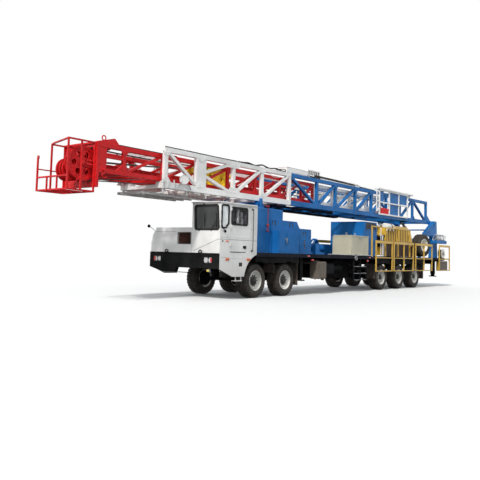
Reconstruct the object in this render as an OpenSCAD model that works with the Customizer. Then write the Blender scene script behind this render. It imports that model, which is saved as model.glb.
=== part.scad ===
// Truck-mounted workover rig: a five-axle carrier with a half-width cab, engine house,
// drawworks and a two-section lattice mast that lies forward over the cab.
// Millimetres. +X is forward, +Y the cab's side, +Z up. The origin is on the ground.

/* [Wheels and axles] */
// Outer radius of a tyre
tyre_r = 550; // [510:5:560]
// Width of a tyre at its widest
tyre_w = 430; // [380:5:440]
// Distance from the middle plane to the middle of a tyre
wheel_y = 1062; // [1062:1:1080]
// Place of the first steered axle
axle1_x = 4855; // [4800:5:4900]
// Distance between the two steered axles
steer_pitch = 1675; // [1600:5:1700]
// Place of the first driven axle
axle3_x = -4212; // [-4260:2:-4160]
// Distance between driven axles
drive_pitch = 1782; // [1720:2:1800]
// Radius of the spindle that a wheel turns on
spindle_r = 40; // [34:1:46]
// Distance from the middle plane to a kingpin
kingpin_y = 840; // [835:1:845]
// Radius of a kingpin
kingpin_r = 28; // [24:1:32]

/* [Chassis and deck] */
// Height of the deck's top face
deck_z = 1450; // [1440:2:1470]
// Thickness of the deck plate
deck_t = 60; // [50:2:70]
// Half width of the body and deck
body_y = 1450; // [1440:2:1460]
// Rear end of the deck
deck_x0 = -11200; // [-11300:10:-11100]
// Radius of the recovery hitch's pin hole
hitch_r = 26; // [20:1:32]
// Depth of a frame rail
rail_h = 320; // [300:5:340]
// Distance from the middle plane to a frame rail's outer face
rail_y = 430; // [410:5:450]
// Rear end of the frame rails
frame_x0 = -11100; // [-11150:10:-11000]

/* [Cab and hood] */
// Rear face of the cab
cab_x0 = 5080; // [5070:2:5100]
// Front face of the cab and hood
cab_x1 = 6890; // [6880:2:6900]
// Height of the cab's roof
cab_z1 = 2940; // [2900:5:2960]
// Inner side of the half cab, next to the hood
cab_y0 = 320; // [300:5:340]
// Thickness of the cab's walls and door
wall = 40; // [34:1:44]
// Radius of the wheel arch round the first axle
arch_r = 855; // [820:5:865]
// Height of the hood's top
hood_z1 = 2165; // [2100:5:2180]
// Gap round a door or lid
door_gap = 6; // [5:0.5:8]

/* [Houses and boxes on the deck] */
// Front of the radiator house
house_x1 = 5040; // [5030:2:5050]
// Length of the radiator house
tall_len = 1808; // [1780:2:1830]
// Height of the radiator house's roof
tall_z1 = 2935; // [2900:5:2945]
// Half width of the engine house
house_y = 1150; // [1120:5:1160]
// Length of the engine house
engine_len = 1040; // [1010:5:1070]
// Height of the engine house's roof
engine_z1 = 2575; // [2500:5:2620]
// Length of the tool locker
locker_len = 1430; // [1380:5:1440]
// Front face of the tool locker
locker_x1 = -1160; // [-1200:5:-1140]
// Gap between the tool locker and the drawworks house
locker_gap = 100; // [80:5:120]
// Outer radius of the drawworks drum's flanges
drum_flange_r = 470; // [440:5:480]

/* [Mast] */
// Gap between the radiator house's roof and the mast
roof_gap = 235; // [225:5:260]
// Least gap between the cab's roof and the mast
cab_gap = 230; // [225:1:230]
// Gap between the drawworks house's roof and the mast
winch_gap = 290; // [270:5:330]
// Height of the mast's hinge above the mast's underside
hinge_up = 50; // [45:1:55]
// Place of the mast's hinge along the rig
hinge_x = -10640; // [-10660:2:-10620]
// Radius of a mast hinge pin
hinge_r = 60; // [54:1:66]
// Front end of the lower mast
lower_x1 = 8725; // [8700:5:8760]
// Half width of the lower mast
lower_y = 914; // [910:1:918]
// Depth of the lower mast
lower_h = 1150; // [1110:5:1170]
// Half width of the upper mast
upper_y = 700; // [690:1:704]
// Gap between the upper mast and the lower mast's lower chords
slide_gap = 20; // [16:1:30]
// Depth of the upper mast
upper_h = 780; // [760:2:800]
// Rear end of the upper mast
upper_x0 = -5290; // [-5340:5:-5240]
// Face of the crown plate at the upper mast's front end
crown_x = 10840; // [10800:5:10860]
// Radius of the large crown sheave
sheave_r = 450; // [430:5:465]

/* [Jacks and cylinders] */
// Distance from the middle plane to a levelling jack
jack_y = 1150; // [1140:2:1160]
// Bore of the jacks' guide tubes, across the flats
jack_bore = 150; // [140:2:156]
// Distance from the middle plane to a raising cylinder
ram_y = 580; // [570:1:590]
// Outer radius of a raising cylinder's barrel
ram_r = 95; // [88:1:100]

/* [Hidden] */

white = [0.94, 0.93, 0.91];
blue = [0.11, 0.33, 0.58];
red = [0.70, 0.12, 0.13];
yellow = [0.80, 0.62, 0.18];
beige = [0.72, 0.70, 0.58];
black = [0.09, 0.09, 0.10];
grey = [0.45, 0.45, 0.45];
steel = [0.70, 0.71, 0.72];

$fn = 48;
// Gap between a piece and the seat that carries it
seat = 0.3;
// Radial gap of a pin or spindle in its bore
pin_fit = 0.05;
// Least gap between pieces that pass each other
pass = 6;

// Heights of the mast, which lies over the houses and the cab
lower_z0 = max(tall_z1 + roof_gap, cab_z1 + cab_gap);
lower_z1 = lower_z0 + lower_h;
hinge_z = lower_z0 + hinge_up;
low_h = 180;
upper_z0 = lower_z0 + low_h + slide_gap;
upper_z1 = upper_z0 + upper_h;
winch_z1 = lower_z0 - winch_gap;

axle_z = tyre_r;
// Axles from the front: place, 1 where steered
AXLES = [
    [axle1_x, 1], [axle1_x - steer_pitch, 1],
    [axle3_x, 0], [axle3_x - drive_pitch, 0], [axle3_x - 2 * drive_pitch, 0]];

// Prism of an outline drawn in X and Z, from y0 to y1
module slab_y(y0, y1) translate([0, y1, 0]) rotate([90, 0, 0]) linear_extrude(y1 - y0) children();
// Prism of an outline drawn in Y and Z, from x0 to x1
module slab_x(x0, x1) translate([x0, 0, 0]) rotate([90, 0, 90]) linear_extrude(x1 - x0) children();
// Prism of an outline drawn in X and Y, from z0 to z1
module slab_z(z0, z1) translate([0, 0, z0]) linear_extrude(z1 - z0) children();
// Box between two corners
module box(p, q) translate(p) cube(q - p);
// Rectangle between two corners
module rect(p, q) translate(p) square(q - p);
// Flat bar from one point to another, in two dimensions
module bar(p, q, w) translate(p) rotate(atan2(q[1] - p[1], q[0] - p[0]))
    translate([0, -w / 2]) square([norm(q - p), w]);
module both_sides() {
    children();
    mirror([0, 1, 0]) children();
}
// Rod along Y
module rod_y(x, z, r, y0, y1) translate([x, y0, z]) rotate([-90, 0, 0]) cylinder(r = r, h = y1 - y0);
// Rod along X
module rod_x(y, z, r, x0, x1) translate([x0, y, z]) rotate([0, 90, 0]) cylinder(r = r, h = x1 - x0);
// Rectangle with rounded corners
module round_rect(p, q, r) {
    rect(p + [r, 0], q - [r, 0]);
    rect(p + [0, r], q - [0, r]);
    for (x = [p[0] + r, q[0] - r], z = [p[1] + r, q[1] - r]) translate([x, z]) circle(r, $fn = 24);
}

// Frame, deck and what hangs below it

rail_z1 = deck_z - deck_t;
rail_z0 = rail_z1 - rail_h;
rail_web = 20;
rail_flange = 110;
beam_depth = 180;
frame_x1 = cab_x1 - beam_depth;
CROSS_X = [6400, 5700, 4020, 2400, 700, -1000, -2700, -3400, -5112, -6900, -8700, -9800, -10950];
jack_x = [2130, -10330];
jack_wall = 15;
jack_out = jack_bore / 2 + jack_wall;
jack_z0 = 620;
hitch_x = frame_x0 - 130;
hitch_z = 1210;
hitch_t = 45;

module rail_profile() difference() {
    rect([rail_y - rail_flange, rail_z0], [rail_y, rail_z1]);
    rect([rail_y - rail_flange - 1, rail_z0 + rail_web], [rail_y - rail_web, rail_z1 - rail_web]);
}

module jack_housing(x) {
    difference() {
        box([x - jack_out, jack_y - jack_out, jack_z0], [x + jack_out, jack_y + jack_out, rail_z1]);
        box([x - jack_bore / 2, jack_y - jack_bore / 2, jack_z0 - 1],
            [x + jack_bore / 2, jack_y + jack_bore / 2, rail_z1 - 40]);
    }
    box([x - 60, rail_y + seat, rail_z0 + 60], [x + 60, jack_y - jack_out + 5, rail_z1 - 60]);
}

module chassis_frame() color(black) {
    both_sides() {
        slab_x(frame_x0, frame_x1) rail_profile();
        for (x = jack_x) jack_housing(x);
    }
    // Cross-members bolted between the rails' webs
    cross_y = rail_y - rail_web - seat;
    for (x = CROSS_X) difference() {
        box([x - 60, -cross_y, rail_z0 + 40], [x + 60, cross_y, rail_z1 - 30]);
        for (y = [-200, 0, 200]) rod_x(y, (rail_z0 + rail_z1) / 2, 60, x - 61, x + 61);
    }
    // Recovery hitch: a plate with an upright pin hole
    difference() {
        union() {
            box([hitch_x, -110, hitch_z - hitch_t / 2], [frame_x0 + 70, 110, hitch_z + hitch_t / 2]);
            box([frame_x0 + 40, -200, rail_z0 + 50], [CROSS_X[len(CROSS_X) - 1] - 60 - seat, 200,
                rail_z1 - 60]);
            translate([hitch_x, 0, hitch_z - hitch_t / 2]) cylinder(r = 110, h = hitch_t);
        }
        translate([hitch_x, 0, hitch_z - hitch_t]) cylinder(r = hitch_r, h = 2 * hitch_t);
    }
}

edge_t = 40;
edge_h = 130;
module deck() color(black) {
    box([deck_x0, -body_y, rail_z1], [cab_x0 - pass, body_y, deck_z]);
    both_sides() {
        box([deck_x0, body_y - edge_t, deck_z - edge_h], [cab_x0 - pass, body_y, rail_z1 + 5]);
        // Outriggers bolted to the frame rails
        for (x = [4020, 2900, 1400, 0, -1100, -2600, -5103, -6885, -8900, -11000])
            slab_x(x - 30, x + 30) polygon([[rail_y + seat, rail_z0 + 60], [rail_y + seat, rail_z1 - seat],
                [body_y - edge_t - 21, rail_z1 - seat], [body_y - edge_t - 21, rail_z1 - 60]]);
    }
}

guard_gap = 70;
// Lengths of skirt: rear end, front end, lowest edge
SKIRTS = [[2560, cab_x0 - pass, 1130], [axle3_x - 2 * drive_pitch - 900, axle3_x + 800, 1130]];
module mudguards() color(black) both_sides() for (s = SKIRTS) difference() {
    slab_y(body_y - edge_t - 20, body_y - edge_t - seat) rect([s[0], s[2]], [s[1], rail_z1 - seat]);
    for (a = AXLES) rod_y(a[0], axle_z, tyre_r + guard_gap, body_y - edge_t - 21, body_y - edge_t + 1);
}

// Front body

// Side of the cab and hood: an arch at the rear, and a lower edge that rises to the front
module side_outline() difference() {
    polygon([[cab_x0, 700], [cab_x1 - 630, 700], [cab_x1, 930], [cab_x1, cab_z1 - 10],
        [cab_x1 - 30, cab_z1], [cab_x0, cab_z1]]);
    translate([axle1_x, axle_z]) circle(arch_r);
}
// Door: its lower rear corner is cut away
door_x0 = 5455;
door_x1 = 6420;
door_z0 = 1440;
door_z1 = 2850;
module door_outline() polygon([[door_x0, door_z0 + 280], [door_x0 + 200, door_z0],
    [door_x1, door_z0], [door_x1, door_z1], [door_x0, door_z1]]);
module door_window() round_rect([5605, 2285], [6365, 2790], 35);
module quarter_window() difference() {
    round_rect([6510, 2165], [cab_x1 - wall - 25, 2830], 40);
    polygon([[6500, 2160], [6640, 2160], [6500, 2300]]);
}
module windshield() polygon([[cab_y0 + 140, 2110], [body_y - wall - 10, 2110],
    [body_y - wall - 70, 2820], [cab_y0 + 110, 2820]]);
module rear_window() round_rect([cab_y0 + 200, 2300], [body_y - 250, 2780], 50);
module inner_window() round_rect([5560, 2290], [6760, 2810], 50);
floor_z = rail_z1;

step_x = [5800, 6120];
toe_x = [5810, 5970];
toe_z = [1010, 1130];
// The cab's shell in one, before it is parted at its seams
module shell_form() difference() {
    union() {
        difference() {
            slab_y(cab_y0, body_y) intersection() {
                side_outline();
                rect([cab_x0, floor_z], [cab_x1, cab_z1]);
            }
            box([cab_x0 + wall, cab_y0 + wall, floor_z + wall],
                [cab_x1 - wall, body_y - wall, cab_z1 - wall]);
        }
        slab_y(body_y - wall, body_y) intersection() {
            side_outline();
            rect([cab_x0, 600], [cab_x1, floor_z + 20]);
        }
    }
    slab_y(body_y - wall - 1, body_y + 1) {
        quarter_window();
        offset_door();
    }
    slab_x(cab_x1 - wall - 1, cab_x1 + 1) windshield();
    slab_x(cab_x0 - 1, cab_x0 + wall + 1) rear_window();
    slab_y(cab_y0 - 1, cab_y0 + wall + 1) inner_window();
    box([toe_x[0], body_y - 31, toe_z[0]], [toe_x[1], body_y + 1, toe_z[1]]);
}
module panel(p, q) intersection() {
    shell_form();
    box(p, q);
}
// Panels of the shell, with a seam of the width of a seat between them
side_y = body_y - wall;
roof_z = cab_z1 - wall;
door_in = [door_x0 - door_gap, door_x1 + door_gap];
module cab_shell() color(white) {
    panel([cab_x0, cab_y0, floor_z], [cab_x1, side_y - seat, floor_z + wall]);
    panel([cab_x0, cab_y0, floor_z + wall + seat], [cab_x0 + wall, side_y - seat, roof_z - seat]);
    panel([cab_x1 - wall, cab_y0, floor_z + wall + seat], [cab_x1, side_y - seat, roof_z - seat]);
    panel([cab_x0 + wall + seat, cab_y0, floor_z + wall + seat],
        [cab_x1 - wall - seat, cab_y0 + wall, roof_z - seat]);
    // Outer side: sill, corner plate, posts and header round the door
    panel([cab_x0, side_y, 600], [cab_x1, body_y, door_z0 - door_gap]);
    panel([door_in[0] + seat, side_y, door_z0 - door_gap + seat], [door_x0 + 300, body_y, door_z0 + 400]);
    panel([door_in[1], side_y, door_z0 - door_gap + seat], [cab_x1, body_y, roof_z - seat]);
    panel([door_in[0] - 1, side_y, door_z1], [door_in[1] - seat, body_y, roof_z - seat]);
    panel([cab_x0, side_y, door_z0 - door_gap + seat], [door_in[0] - 1 - seat, body_y, roof_z - seat]);
    // Roof with a visor along its front and side
    panel([cab_x0, cab_y0, roof_z], [cab_x1, body_y, cab_z1]);
    box([cab_x1 - 20, cab_y0, cab_z1 - 35], [cab_x1 + 60, body_y, cab_z1 - 5]);
    box([cab_x0 + 20, body_y - 10, roof_z], [cab_x1, body_y + 25, roof_z + 20]);
    // Grab rail behind the door
    rod_y(5350, 2790, 12, body_y - 5, body_y + 50);
    rod_y(5350, 1490, 12, body_y - 5, body_y + 50);
    translate([5350, body_y + 50, 1478]) cylinder(r = 12, h = 1324);
    door_lugs();
    // Step under the door
    box([step_x[0], body_y - 150, 560], [step_x[1], body_y - 5, 590]);
    for (x = [step_x[0] + 20, step_x[1] - 40]) box([x, body_y - 35, 580], [x + 20, body_y - 15, 720]);
}
// Hinges of the door: a pin on a lug of the cab, a barrel on the door
hinge_at = [door_x1 + 3, body_y + 18];
door_hinges = [1640, 2160, 2700];
barrel_h = 70;
module door_lugs() for (z = door_hinges) {
    box([door_x1 + door_gap, body_y - 5, z - 24], [hinge_at[0] + 45, hinge_at[1] + 10, z - seat]);
    box([hinge_at[0] - 10, body_y + pass, z - 24], [hinge_at[0] + 40, hinge_at[1] + 10, z - seat]);
    translate([hinge_at[0], hinge_at[1], z - 20]) cylinder(r = 7, h = barrel_h + 24);
}
module door_barrels() for (z = door_hinges) difference() {
    union() {
        translate([hinge_at[0], hinge_at[1], z]) cylinder(r = 12, h = barrel_h);
        box([door_x1 - 45, body_y - 2, z], [hinge_at[0], body_y + 22, z + barrel_h]);
    }
    translate([hinge_at[0], hinge_at[1], z - 1]) cylinder(r = 7 + pin_fit, h = barrel_h + 2);
}
// The door's hole in the wall, wider than the door by its gap
module offset_door() polygon([[door_x0 - door_gap, door_z0 + 280 - door_gap / 2],
    [door_x0 + 200 - door_gap / 2, door_z0 - door_gap], [door_x1 + door_gap, door_z0 - door_gap],
    [door_x1 + door_gap, door_z1 + door_gap], [door_x0 - door_gap, door_z1 + door_gap]]);

glass_t = 8;
module cab_glass() color([0.25, 0.27, 0.27]) {
    slab_x(cab_x1 - 24, cab_x1 - 24 + glass_t) offset(delta = -seat) windshield();
    slab_y(body_y - 24, body_y - 24 + glass_t) offset(delta = -seat) quarter_window();
    slab_x(cab_x0 + 16, cab_x0 + 16 + glass_t) offset(delta = -seat) rear_window();
    slab_y(cab_y0 + 16, cab_y0 + 16 + glass_t) offset(delta = -seat) inner_window();
}

// Frame of the steering column, Z along it
module along_column() translate([6420, 870, 1900]) rotate([0, -35, 0]) children();
column_r = 25;
module cab_interior() color(black) {
    f = floor_z + wall;
    // Seat
    box([5420, 680, f], [5840, 1060, f + 300]);
    box([5380, 640, f + 300], [5900, 1100, f + 420]);
    slab_y(650, 1090) polygon([[5380, f + 420 + seat], [5500, f + 420 + seat], [5400, f + 980], [5300,
        f + 980]]);
    // Instrument panel
    difference() {
        slab_y(cab_y0 + wall, body_y - wall) polygon([[cab_x1 - wall, f], [cab_x1 - wall, 2090],
            [cab_x1 - wall - 240, 2050], [cab_x1 - wall - 340, 1900], [cab_x1 - wall - 140, f]]);
        along_column() translate([0, 0, -441]) cylinder(r = column_r + seat, h = 600);
    }
    // Steering column and wheel
    along_column() {
        translate([0, 0, -440]) cylinder(r = column_r, h = 600 - seat);
        translate([0, 0, 160]) {
            rotate_extrude() translate([215, 15]) circle(15, $fn = 16);
            for (a = [90, 210, 330]) rotate(a) translate([0, -12, 8]) cube([210, 24, 14]);
            cylinder(r = 50, h = 30);
        }
    }
}

module cab_door() color(white) {
    difference() {
        slab_y(body_y - wall, body_y) door_outline();
        slab_y(body_y - wall - 1, body_y + 1) door_window();
    }
    door_barrels();
    box([5740, body_y - 5, 1570], [5820, body_y + 18, 1640]);
}
module cab_door_glass() color([0.25, 0.27, 0.27])
    slab_y(body_y - 24, body_y - 24 + glass_t) offset(delta = -seat) door_window();

hood_y0 = -body_y + 40;
hood_y1 = cab_y0 - 2;
grille_y = [-270, 280];
grille_z = [1660, 2010];
module front_hood() color(white) difference() {
    union() {
        intersection() {
            slab_y(-body_y, hood_y1) side_outline();
            slab_x(cab_x0, cab_x1) union() {
                difference() {
                    rect([hood_y0 + 160, floor_z], [hood_y1, hood_z1]);
                    rect([cab_y0 - 140, hood_z1 - 30], [hood_y1 + 1, hood_z1 + 1]);
                }
                // Rounded shoulder
                translate([hood_y0, hood_z1]) polygon([[0, floor_z - hood_z1], [0, -330], [25, -230], [90,
                    -140],
                    [190, -70], [300, -28], [410, 0], [500, floor_z - hood_z1]]);
            }
        }
        slab_y(-body_y, -body_y + wall) intersection() {
            side_outline();
            rect([cab_x0, 600], [cab_x1, hood_z1 - 420]);
        }
    }
    box([cab_x1 - 120, grille_y[0], grille_z[0]], [cab_x1 + 1, grille_y[1], grille_z[1]]);
    box([toe_x[0], -body_y - 1, toe_z[0]], [toe_x[1], -body_y + 31, toe_z[1]]);
}

module hood_grille() color([0.20, 0.11, 0.07]) {
    y = [grille_y[0] + seat, grille_y[1] - seat];
    box([cab_x1 - 120 + seat, y[0], grille_z[0] + seat], [cab_x1 - 80, y[1], grille_z[1] - seat]);
    n = 9;
    for (i = [0:n - 1])
        translate([cab_x1 - 85, y[0], grille_z[0] + 40 + i * (grille_z[1] - grille_z[0] - 60) / (n - 1)])
            rotate([0, 25, 0]) translate([0, 0, -4]) cube([55, y[1] - y[0], 8]);
}

bumper_z0 = 932;
bumper_z1 = 1396;
bumper_x1 = cab_x1 + 35;
lamp_z = 1185;
// Headlamps in the bumper: middle, half width, half height
HEADLAMPS = [[-1110, 165, 90], [1030, 175, 95]];
module front_bumper() color(black) difference() {
    union() {
        box([cab_x1, -body_y, bumper_z0], [bumper_x1, body_y, bumper_z1]);
        box([frame_x1, -body_y + wall + 5, bumper_z0], [cab_x1 + 5, body_y - wall - 5, rail_z1 - 5]);
        slab_x(cab_x1 + seat, bumper_x1) polygon([[-body_y, bumper_z0 + 20], [-body_y, bumper_z0 - 10],
            [-900, 790], [-330, 790], [-270, bumper_z0 + 20]]);
        slab_x(cab_x1 - 100, cab_x1 + 1) polygon([[-1200, bumper_z0 + 20], [-1200, 860], [-900, 790],
            [-330, 790], [-270, bumper_z0 + 20]]);
    }
    for (l = HEADLAMPS) box([bumper_x1 - 60, l[0] - l[1], lamp_z - l[2]],
        [bumper_x1 + 1, l[0] + l[1], lamp_z + l[2]]);
}

fog_x = bumper_x1 - 60;
module lamps() color([0.9, 0.88, 0.8]) {
    for (l = HEADLAMPS) {
        box([bumper_x1 - 60, l[0] - l[1] + seat, lamp_z - l[2] + seat],
            [bumper_x1 - 35, l[0] + l[1] - seat, lamp_z + l[2] - seat]);
        for (s = [-1, 1]) rod_x(l[0] + s * l[1] / 2, lamp_z, l[2] - 16, bumper_x1 - 36, bumper_x1 - 10);
    }
    // Fog lamp under the bumper
    box([fog_x - 40, 960, bumper_z0 - 95], [fog_x + 30, 1060, bumper_z0 - 20]);
    box([fog_x - 15, 1000, bumper_z0 - 21], [fog_x + 5, 1020, bumper_z0]);
    // Side marker lamps
    for (x = [5500, 6600], s = [-1, 1]) rod_y(x, 1235, 28, s > 0 ? body_y : -body_y - 16,
        s > 0 ? body_y + 16 : -body_y);
    // Beacons on the deck's edge
    for (x = [2000, -2700], s = [-1, 1]) box([x - 60, s > 0 ? body_y : -body_y - 12, deck_z - 90],
        [x + 60, s > 0 ? body_y + 12 : -body_y, deck_z - 50]);
}

// Houses

tall_x0 = house_x1 - tall_len;
engine_x0 = tall_x0 - engine_len;
small_x0 = engine_x0 - 743;
small_z1 = 2345;
small_y = 1190;
module housing(x0, x1, y, z1, cut) slab_x(x0, x1) polygon([[-y, deck_z], [y, deck_z], [y, z1 - cut],
    [y - cut, z1], [-y + cut, z1], [-y, z1 - cut]]);
// Cladding on the sides of the engine house, which reaches forward beside the radiator house
clad_t = 30;
clad_x1 = house_x1 - 1114;
// Side of the engine house: its rear top corner is cut away
module engine_side(x1) polygon([[engine_x0, deck_z], [x1, deck_z], [x1, engine_z1],
    [engine_x0 + 200, engine_z1], [engine_x0, engine_z1 - 250]]);
// Pairs of louvre slots on both sides: place, height, side
module slots(x, z, y) both_sides() for (d = [-85, 85])
    box([x + d - 45, y - 25, z - 90], [x + d + 45, y + clad_t + 1, z + 90]);

stack_x = engine_x0 + 420;
pump_x = [240, 840];
module engine_house() color(blue) {
    difference() {
        union() {
            housing(tall_x0, house_x1, house_y, tall_z1, 30);
            slab_y(-house_y, house_y) engine_side(tall_x0 - seat);
            housing(small_x0, engine_x0 - seat, small_y, small_z1, 15);
            both_sides() slab_y(house_y + seat, house_y + clad_t) engine_side(clad_x1);
            // Silencer and stack
            rod_y(stack_x, engine_z1 + 110, 90, -900, -100);
            translate([stack_x, -820, engine_z1 + 60]) cylinder(r = 55, h = tall_z1 - engine_z1 + 20);
            for (y = [-750, -250]) box([stack_x - 70, y - 20, engine_z1 + seat],
                [stack_x + 70, y + 20, engine_z1 + 60]);
        }
        slots(clad_x1 - 146, engine_z1 - 125, house_y);
        slots(engine_x0 + 548, engine_z1 - 125, house_y);
        slots(small_x0 + 461, small_z1 - 190, small_y);
        // Radiator louvres on the front face, over the frame
        for (i = [0:12]) box([house_x1 - 30, -900, 1700 + i * 85], [house_x1 + 1, 180, 1740 + i * 85]);
    }
    // Auxiliary pump on its own skid
    box([pump_x[0], 760, deck_z], [pump_x[1], 1040, deck_z + 80]);
    box([pump_x[0] + 310, 790, deck_z + 80 + seat], [pump_x[1] - 20, 1010, deck_z + 410]);
    rod_x(900, deck_z + 240, 120, pump_x[0] + 20, pump_x[0] + 310 - seat);
    box([pump_x[0] + 90, 860, deck_z + 75], [pump_x[0] + 190, 940, deck_z + 160]);
}

cabinet_x1 = house_x1 - 1180;
cabinet_x0 = cabinet_x1 - 1200;
cabinet_z1 = 2210;
cabinet_y0 = house_y + clad_t + seat;
cabinet_y1 = body_y - 12;
cabinet_split = cabinet_x1 - 430;
sheet = 15;
module side_cabinet() color(blue) difference() {
    box([cabinet_x0, cabinet_y0, deck_z], [cabinet_x1, cabinet_y1 - sheet, cabinet_z1]);
    box([cabinet_x0 + sheet, cabinet_y0 + sheet, deck_z + sheet],
        [cabinet_x1 - sheet, cabinet_y1 - sheet + 1, cabinet_z1 - sheet]);
}
// A cabinet door with a pressed rim, a handle and the knuckles of its hinge
module cabinet_leaf(x0, x1, handle_x, axis_x) color(blue) {
    box([x0, cabinet_y1 - sheet + seat, deck_z + 4], [x1, cabinet_y1, cabinet_z1 - 4]);
    box([x0 + 50, cabinet_y1 - 1, deck_z + 60], [x1 - 50, cabinet_y1 + 8, cabinet_z1 - 60]);
    box([handle_x - 12, cabinet_y1 - 1, 1790], [handle_x + 12, cabinet_y1 + 30, 1900]);
    for (z = [deck_z + 90, cabinet_z1 - 190]) translate([axis_x, cabinet_y1, z]) cylinder(r = 10, h = 100);
}
module cabinet_door_front() cabinet_leaf(cabinet_split + 3, cabinet_x1, cabinet_split + 30, cabinet_x1);
module cabinet_door_rear() cabinet_leaf(cabinet_x0, cabinet_split - 3, cabinet_split - 90, cabinet_x0);

locker_x0 = locker_x1 - locker_len;
winch_x1 = locker_x0 - locker_gap;
locker_y = [590, body_y - 8];
locker_z = [deck_z + 40, 2205];
lid_h = 45;
lip = 12;
// Axis of the lid's hinge
lid_pin = [locker_y[0] - 12, locker_z[1] + 12];
lid_knuckles = [locker_x0 + 200, locker_x1 - 300];
// A floor on feet, and four walls parted at their seams
module tool_locker() color(beige) {
    t = 20;
    z = [locker_z[0] + t + seat, locker_z[1]];
    box([locker_x0, locker_y[0], locker_z[0]], [locker_x1, locker_y[1], locker_z[0] + t]);
    for (x = [locker_x0 + 100, locker_x1 - 220], y = [locker_y[0] + 60, locker_y[1] - 160])
        box([x, y, deck_z], [x + 120, y + 100, locker_z[0] + 1]);
    for (y = [locker_y[0], locker_y[1] - t])
        box([locker_x0 + t + seat, y, z[0]], [locker_x1 - t - seat, y + t, z[1]]);
    for (x = [locker_x0, locker_x1 - t]) box([x, locker_y[0], z[0]], [x + t, locker_y[1], z[1]]);
    // Hinge lugs bolted to the rear wall, one at each end of a knuckle
    for (x = lid_knuckles) {
        box([x - 26, lid_pin[0] - 10, z[1] - 70], [x + 126, locker_y[0] - seat, z[1] - 8]);
        for (e = [x - 26, x + 106]) box([e, lid_pin[0] - 10, z[1] - 9], [e + 20, lid_pin[0] + 10,
            lid_pin[1] + 9]);
    }
}
module locker_lid() color(beige) {
    difference() {
        box([locker_x0 - lip, locker_y[0] + 6, locker_z[1] + seat],
            [locker_x1 + lip, locker_y[1] + lip, locker_z[1] + lid_h]);
        box([locker_x0 + 40, locker_y[0] + 40, locker_z[1] - 1],
            [locker_x1 - 40, locker_y[1] - 40, locker_z[1] + lid_h - 15]);
    }
    for (x = lid_knuckles) {
        rod_x(lid_pin[0], lid_pin[1], 9, x, x + 100);
        box([x, lid_pin[0], lid_pin[1] - 5], [x + 100, locker_y[0] + 7, lid_pin[1] + 5]);
    }
    // Ring handles
    for (x = [locker_x0 + 350, locker_x1 - 350]) translate([x, (locker_y[0] + locker_y[1]) / 2,
        locker_z[1] + lid_h + 56])
        rotate([90, 0, 0]) rotate_extrude() translate([60, 0]) circle(8, $fn = 16);
}

winch_x0 = winch_x1 - 1200;
module winch_house() color(blue) difference() {
    union() {
        box([winch_x0, -400, deck_z], [winch_x1, house_y + 30, winch_z1]);
        box([winch_x0, -house_y, deck_z], [winch_x1 + 700, -400 - seat, 1900]);
    }
    // Mesh vents: a frame of slots on the side and the front
    for (i = [0:5]) box([winch_x0 + 120 + i * 160, house_y + 10, winch_z1 - 330],
        [winch_x0 + 240 + i * 160, house_y + 31, winch_z1 - 60]);
    for (i = [0:2]) box([winch_x1 + 679, -1050, 1560 + i * 100], [winch_x1 + 701, -500, 1620 + i * 100]);
}

drum_x = winch_x0 - 2350;
drum_z = 2150;
drum_half = 620;
module drawworks() color(black) {
    // Skid and side plates with bearings
    both_sides() {
        slab_y(760, 800) difference() {
            polygon([[drum_x - 900, deck_z], [drum_x + 900, deck_z], [drum_x + 620, drum_z + 150],
                [drum_x + 200, drum_z + 330], [drum_x - 200, drum_z + 330], [drum_x - 620, drum_z + 150]]);
            for (s = [-1, 1]) translate([drum_x + s * 480, deck_z + 260]) circle(120);
        }
        rod_y(drum_x, drum_z, 130, 680, 860);
        rod_y(drum_x, drum_z, drum_flange_r, drum_half, drum_half + 30);
        rod_y(drum_x, drum_z, drum_flange_r - 60, drum_half + 30, drum_half + 55);
    }
    rod_y(drum_x, drum_z, 70, -700, 700);
    // Barrel with rope grooves
    rotate([-90, 0, 0]) translate([drum_x, -drum_z, -drum_half]) rotate_extrude() polygon(concat(
        [[60, 0]], [for (i = [0:61]) [i % 2 == 0 ? 262 : 250, i * 2 * drum_half / 61]], [[60,
            2 * drum_half]]));
    // Gearbox between the winch house and the drum
    slab_y(-560, 560) polygon([[winch_x0, deck_z], [winch_x0, 2250], [winch_x0 - 420, 2250],
        [winch_x0 - 600, 2050], [winch_x0 - 600, deck_z]]);
}

guard_x = [drum_x - 1360, drum_x + 1330];
guard_y = 1100;
guard_z = lower_z0 - 320;
// Arched profile of the guard over the drum
module guard_line() polygon([[guard_x[0], 2100], [guard_x[0], 2520], [guard_x[0] + 230, guard_z - 60],
    [guard_x[0] + 420, guard_z], [guard_x[1] - 380, guard_z], [guard_x[1] - 150, guard_z - 70],
    [guard_x[1] - 30, guard_z - 230], [guard_x[1], 2500], [guard_x[1], 2100]]);
module drawworks_guard() color(yellow) {
    both_sides() {
        slab_y(guard_y - 25, guard_y) difference() {
            guard_line();
            for (i = [0:13]) rect([guard_x[0] + 60 + i * 187, 2160], [guard_x[0] + 187 + i * 187,
                i < 1 ? 2500 : i > 12 ? 2450 : guard_z - 110]);
        }
        for (x = [guard_x[0] + 30, drum_x, guard_x[1] - 90])
            box([x, guard_y - 80, deck_z], [x + 60, guard_y - 26, 2300 - seat]);
        for (x = [guard_x[0] + 30, drum_x, guard_x[1] - 90])
            box([x, guard_y - 30, 2160], [x + 60, guard_y - 20, 2300]);
    }
    // Curved sheets over the top, on both sides of the rope's way
    both_sides() slab_y(450, guard_y - 25 - seat) intersection() {
        difference() {
            guard_line();
            offset(delta = -12) guard_line();
        }
        rect([guard_x[0] - 1, 2400], [guard_x[1] + 1, guard_z + 1]);
    }
}

// Railings: a fence panel with posts, a mid rail and a top board

rail_out = 1525;
tube = 50;
fence_z = [805, 1387, 2110];
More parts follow.
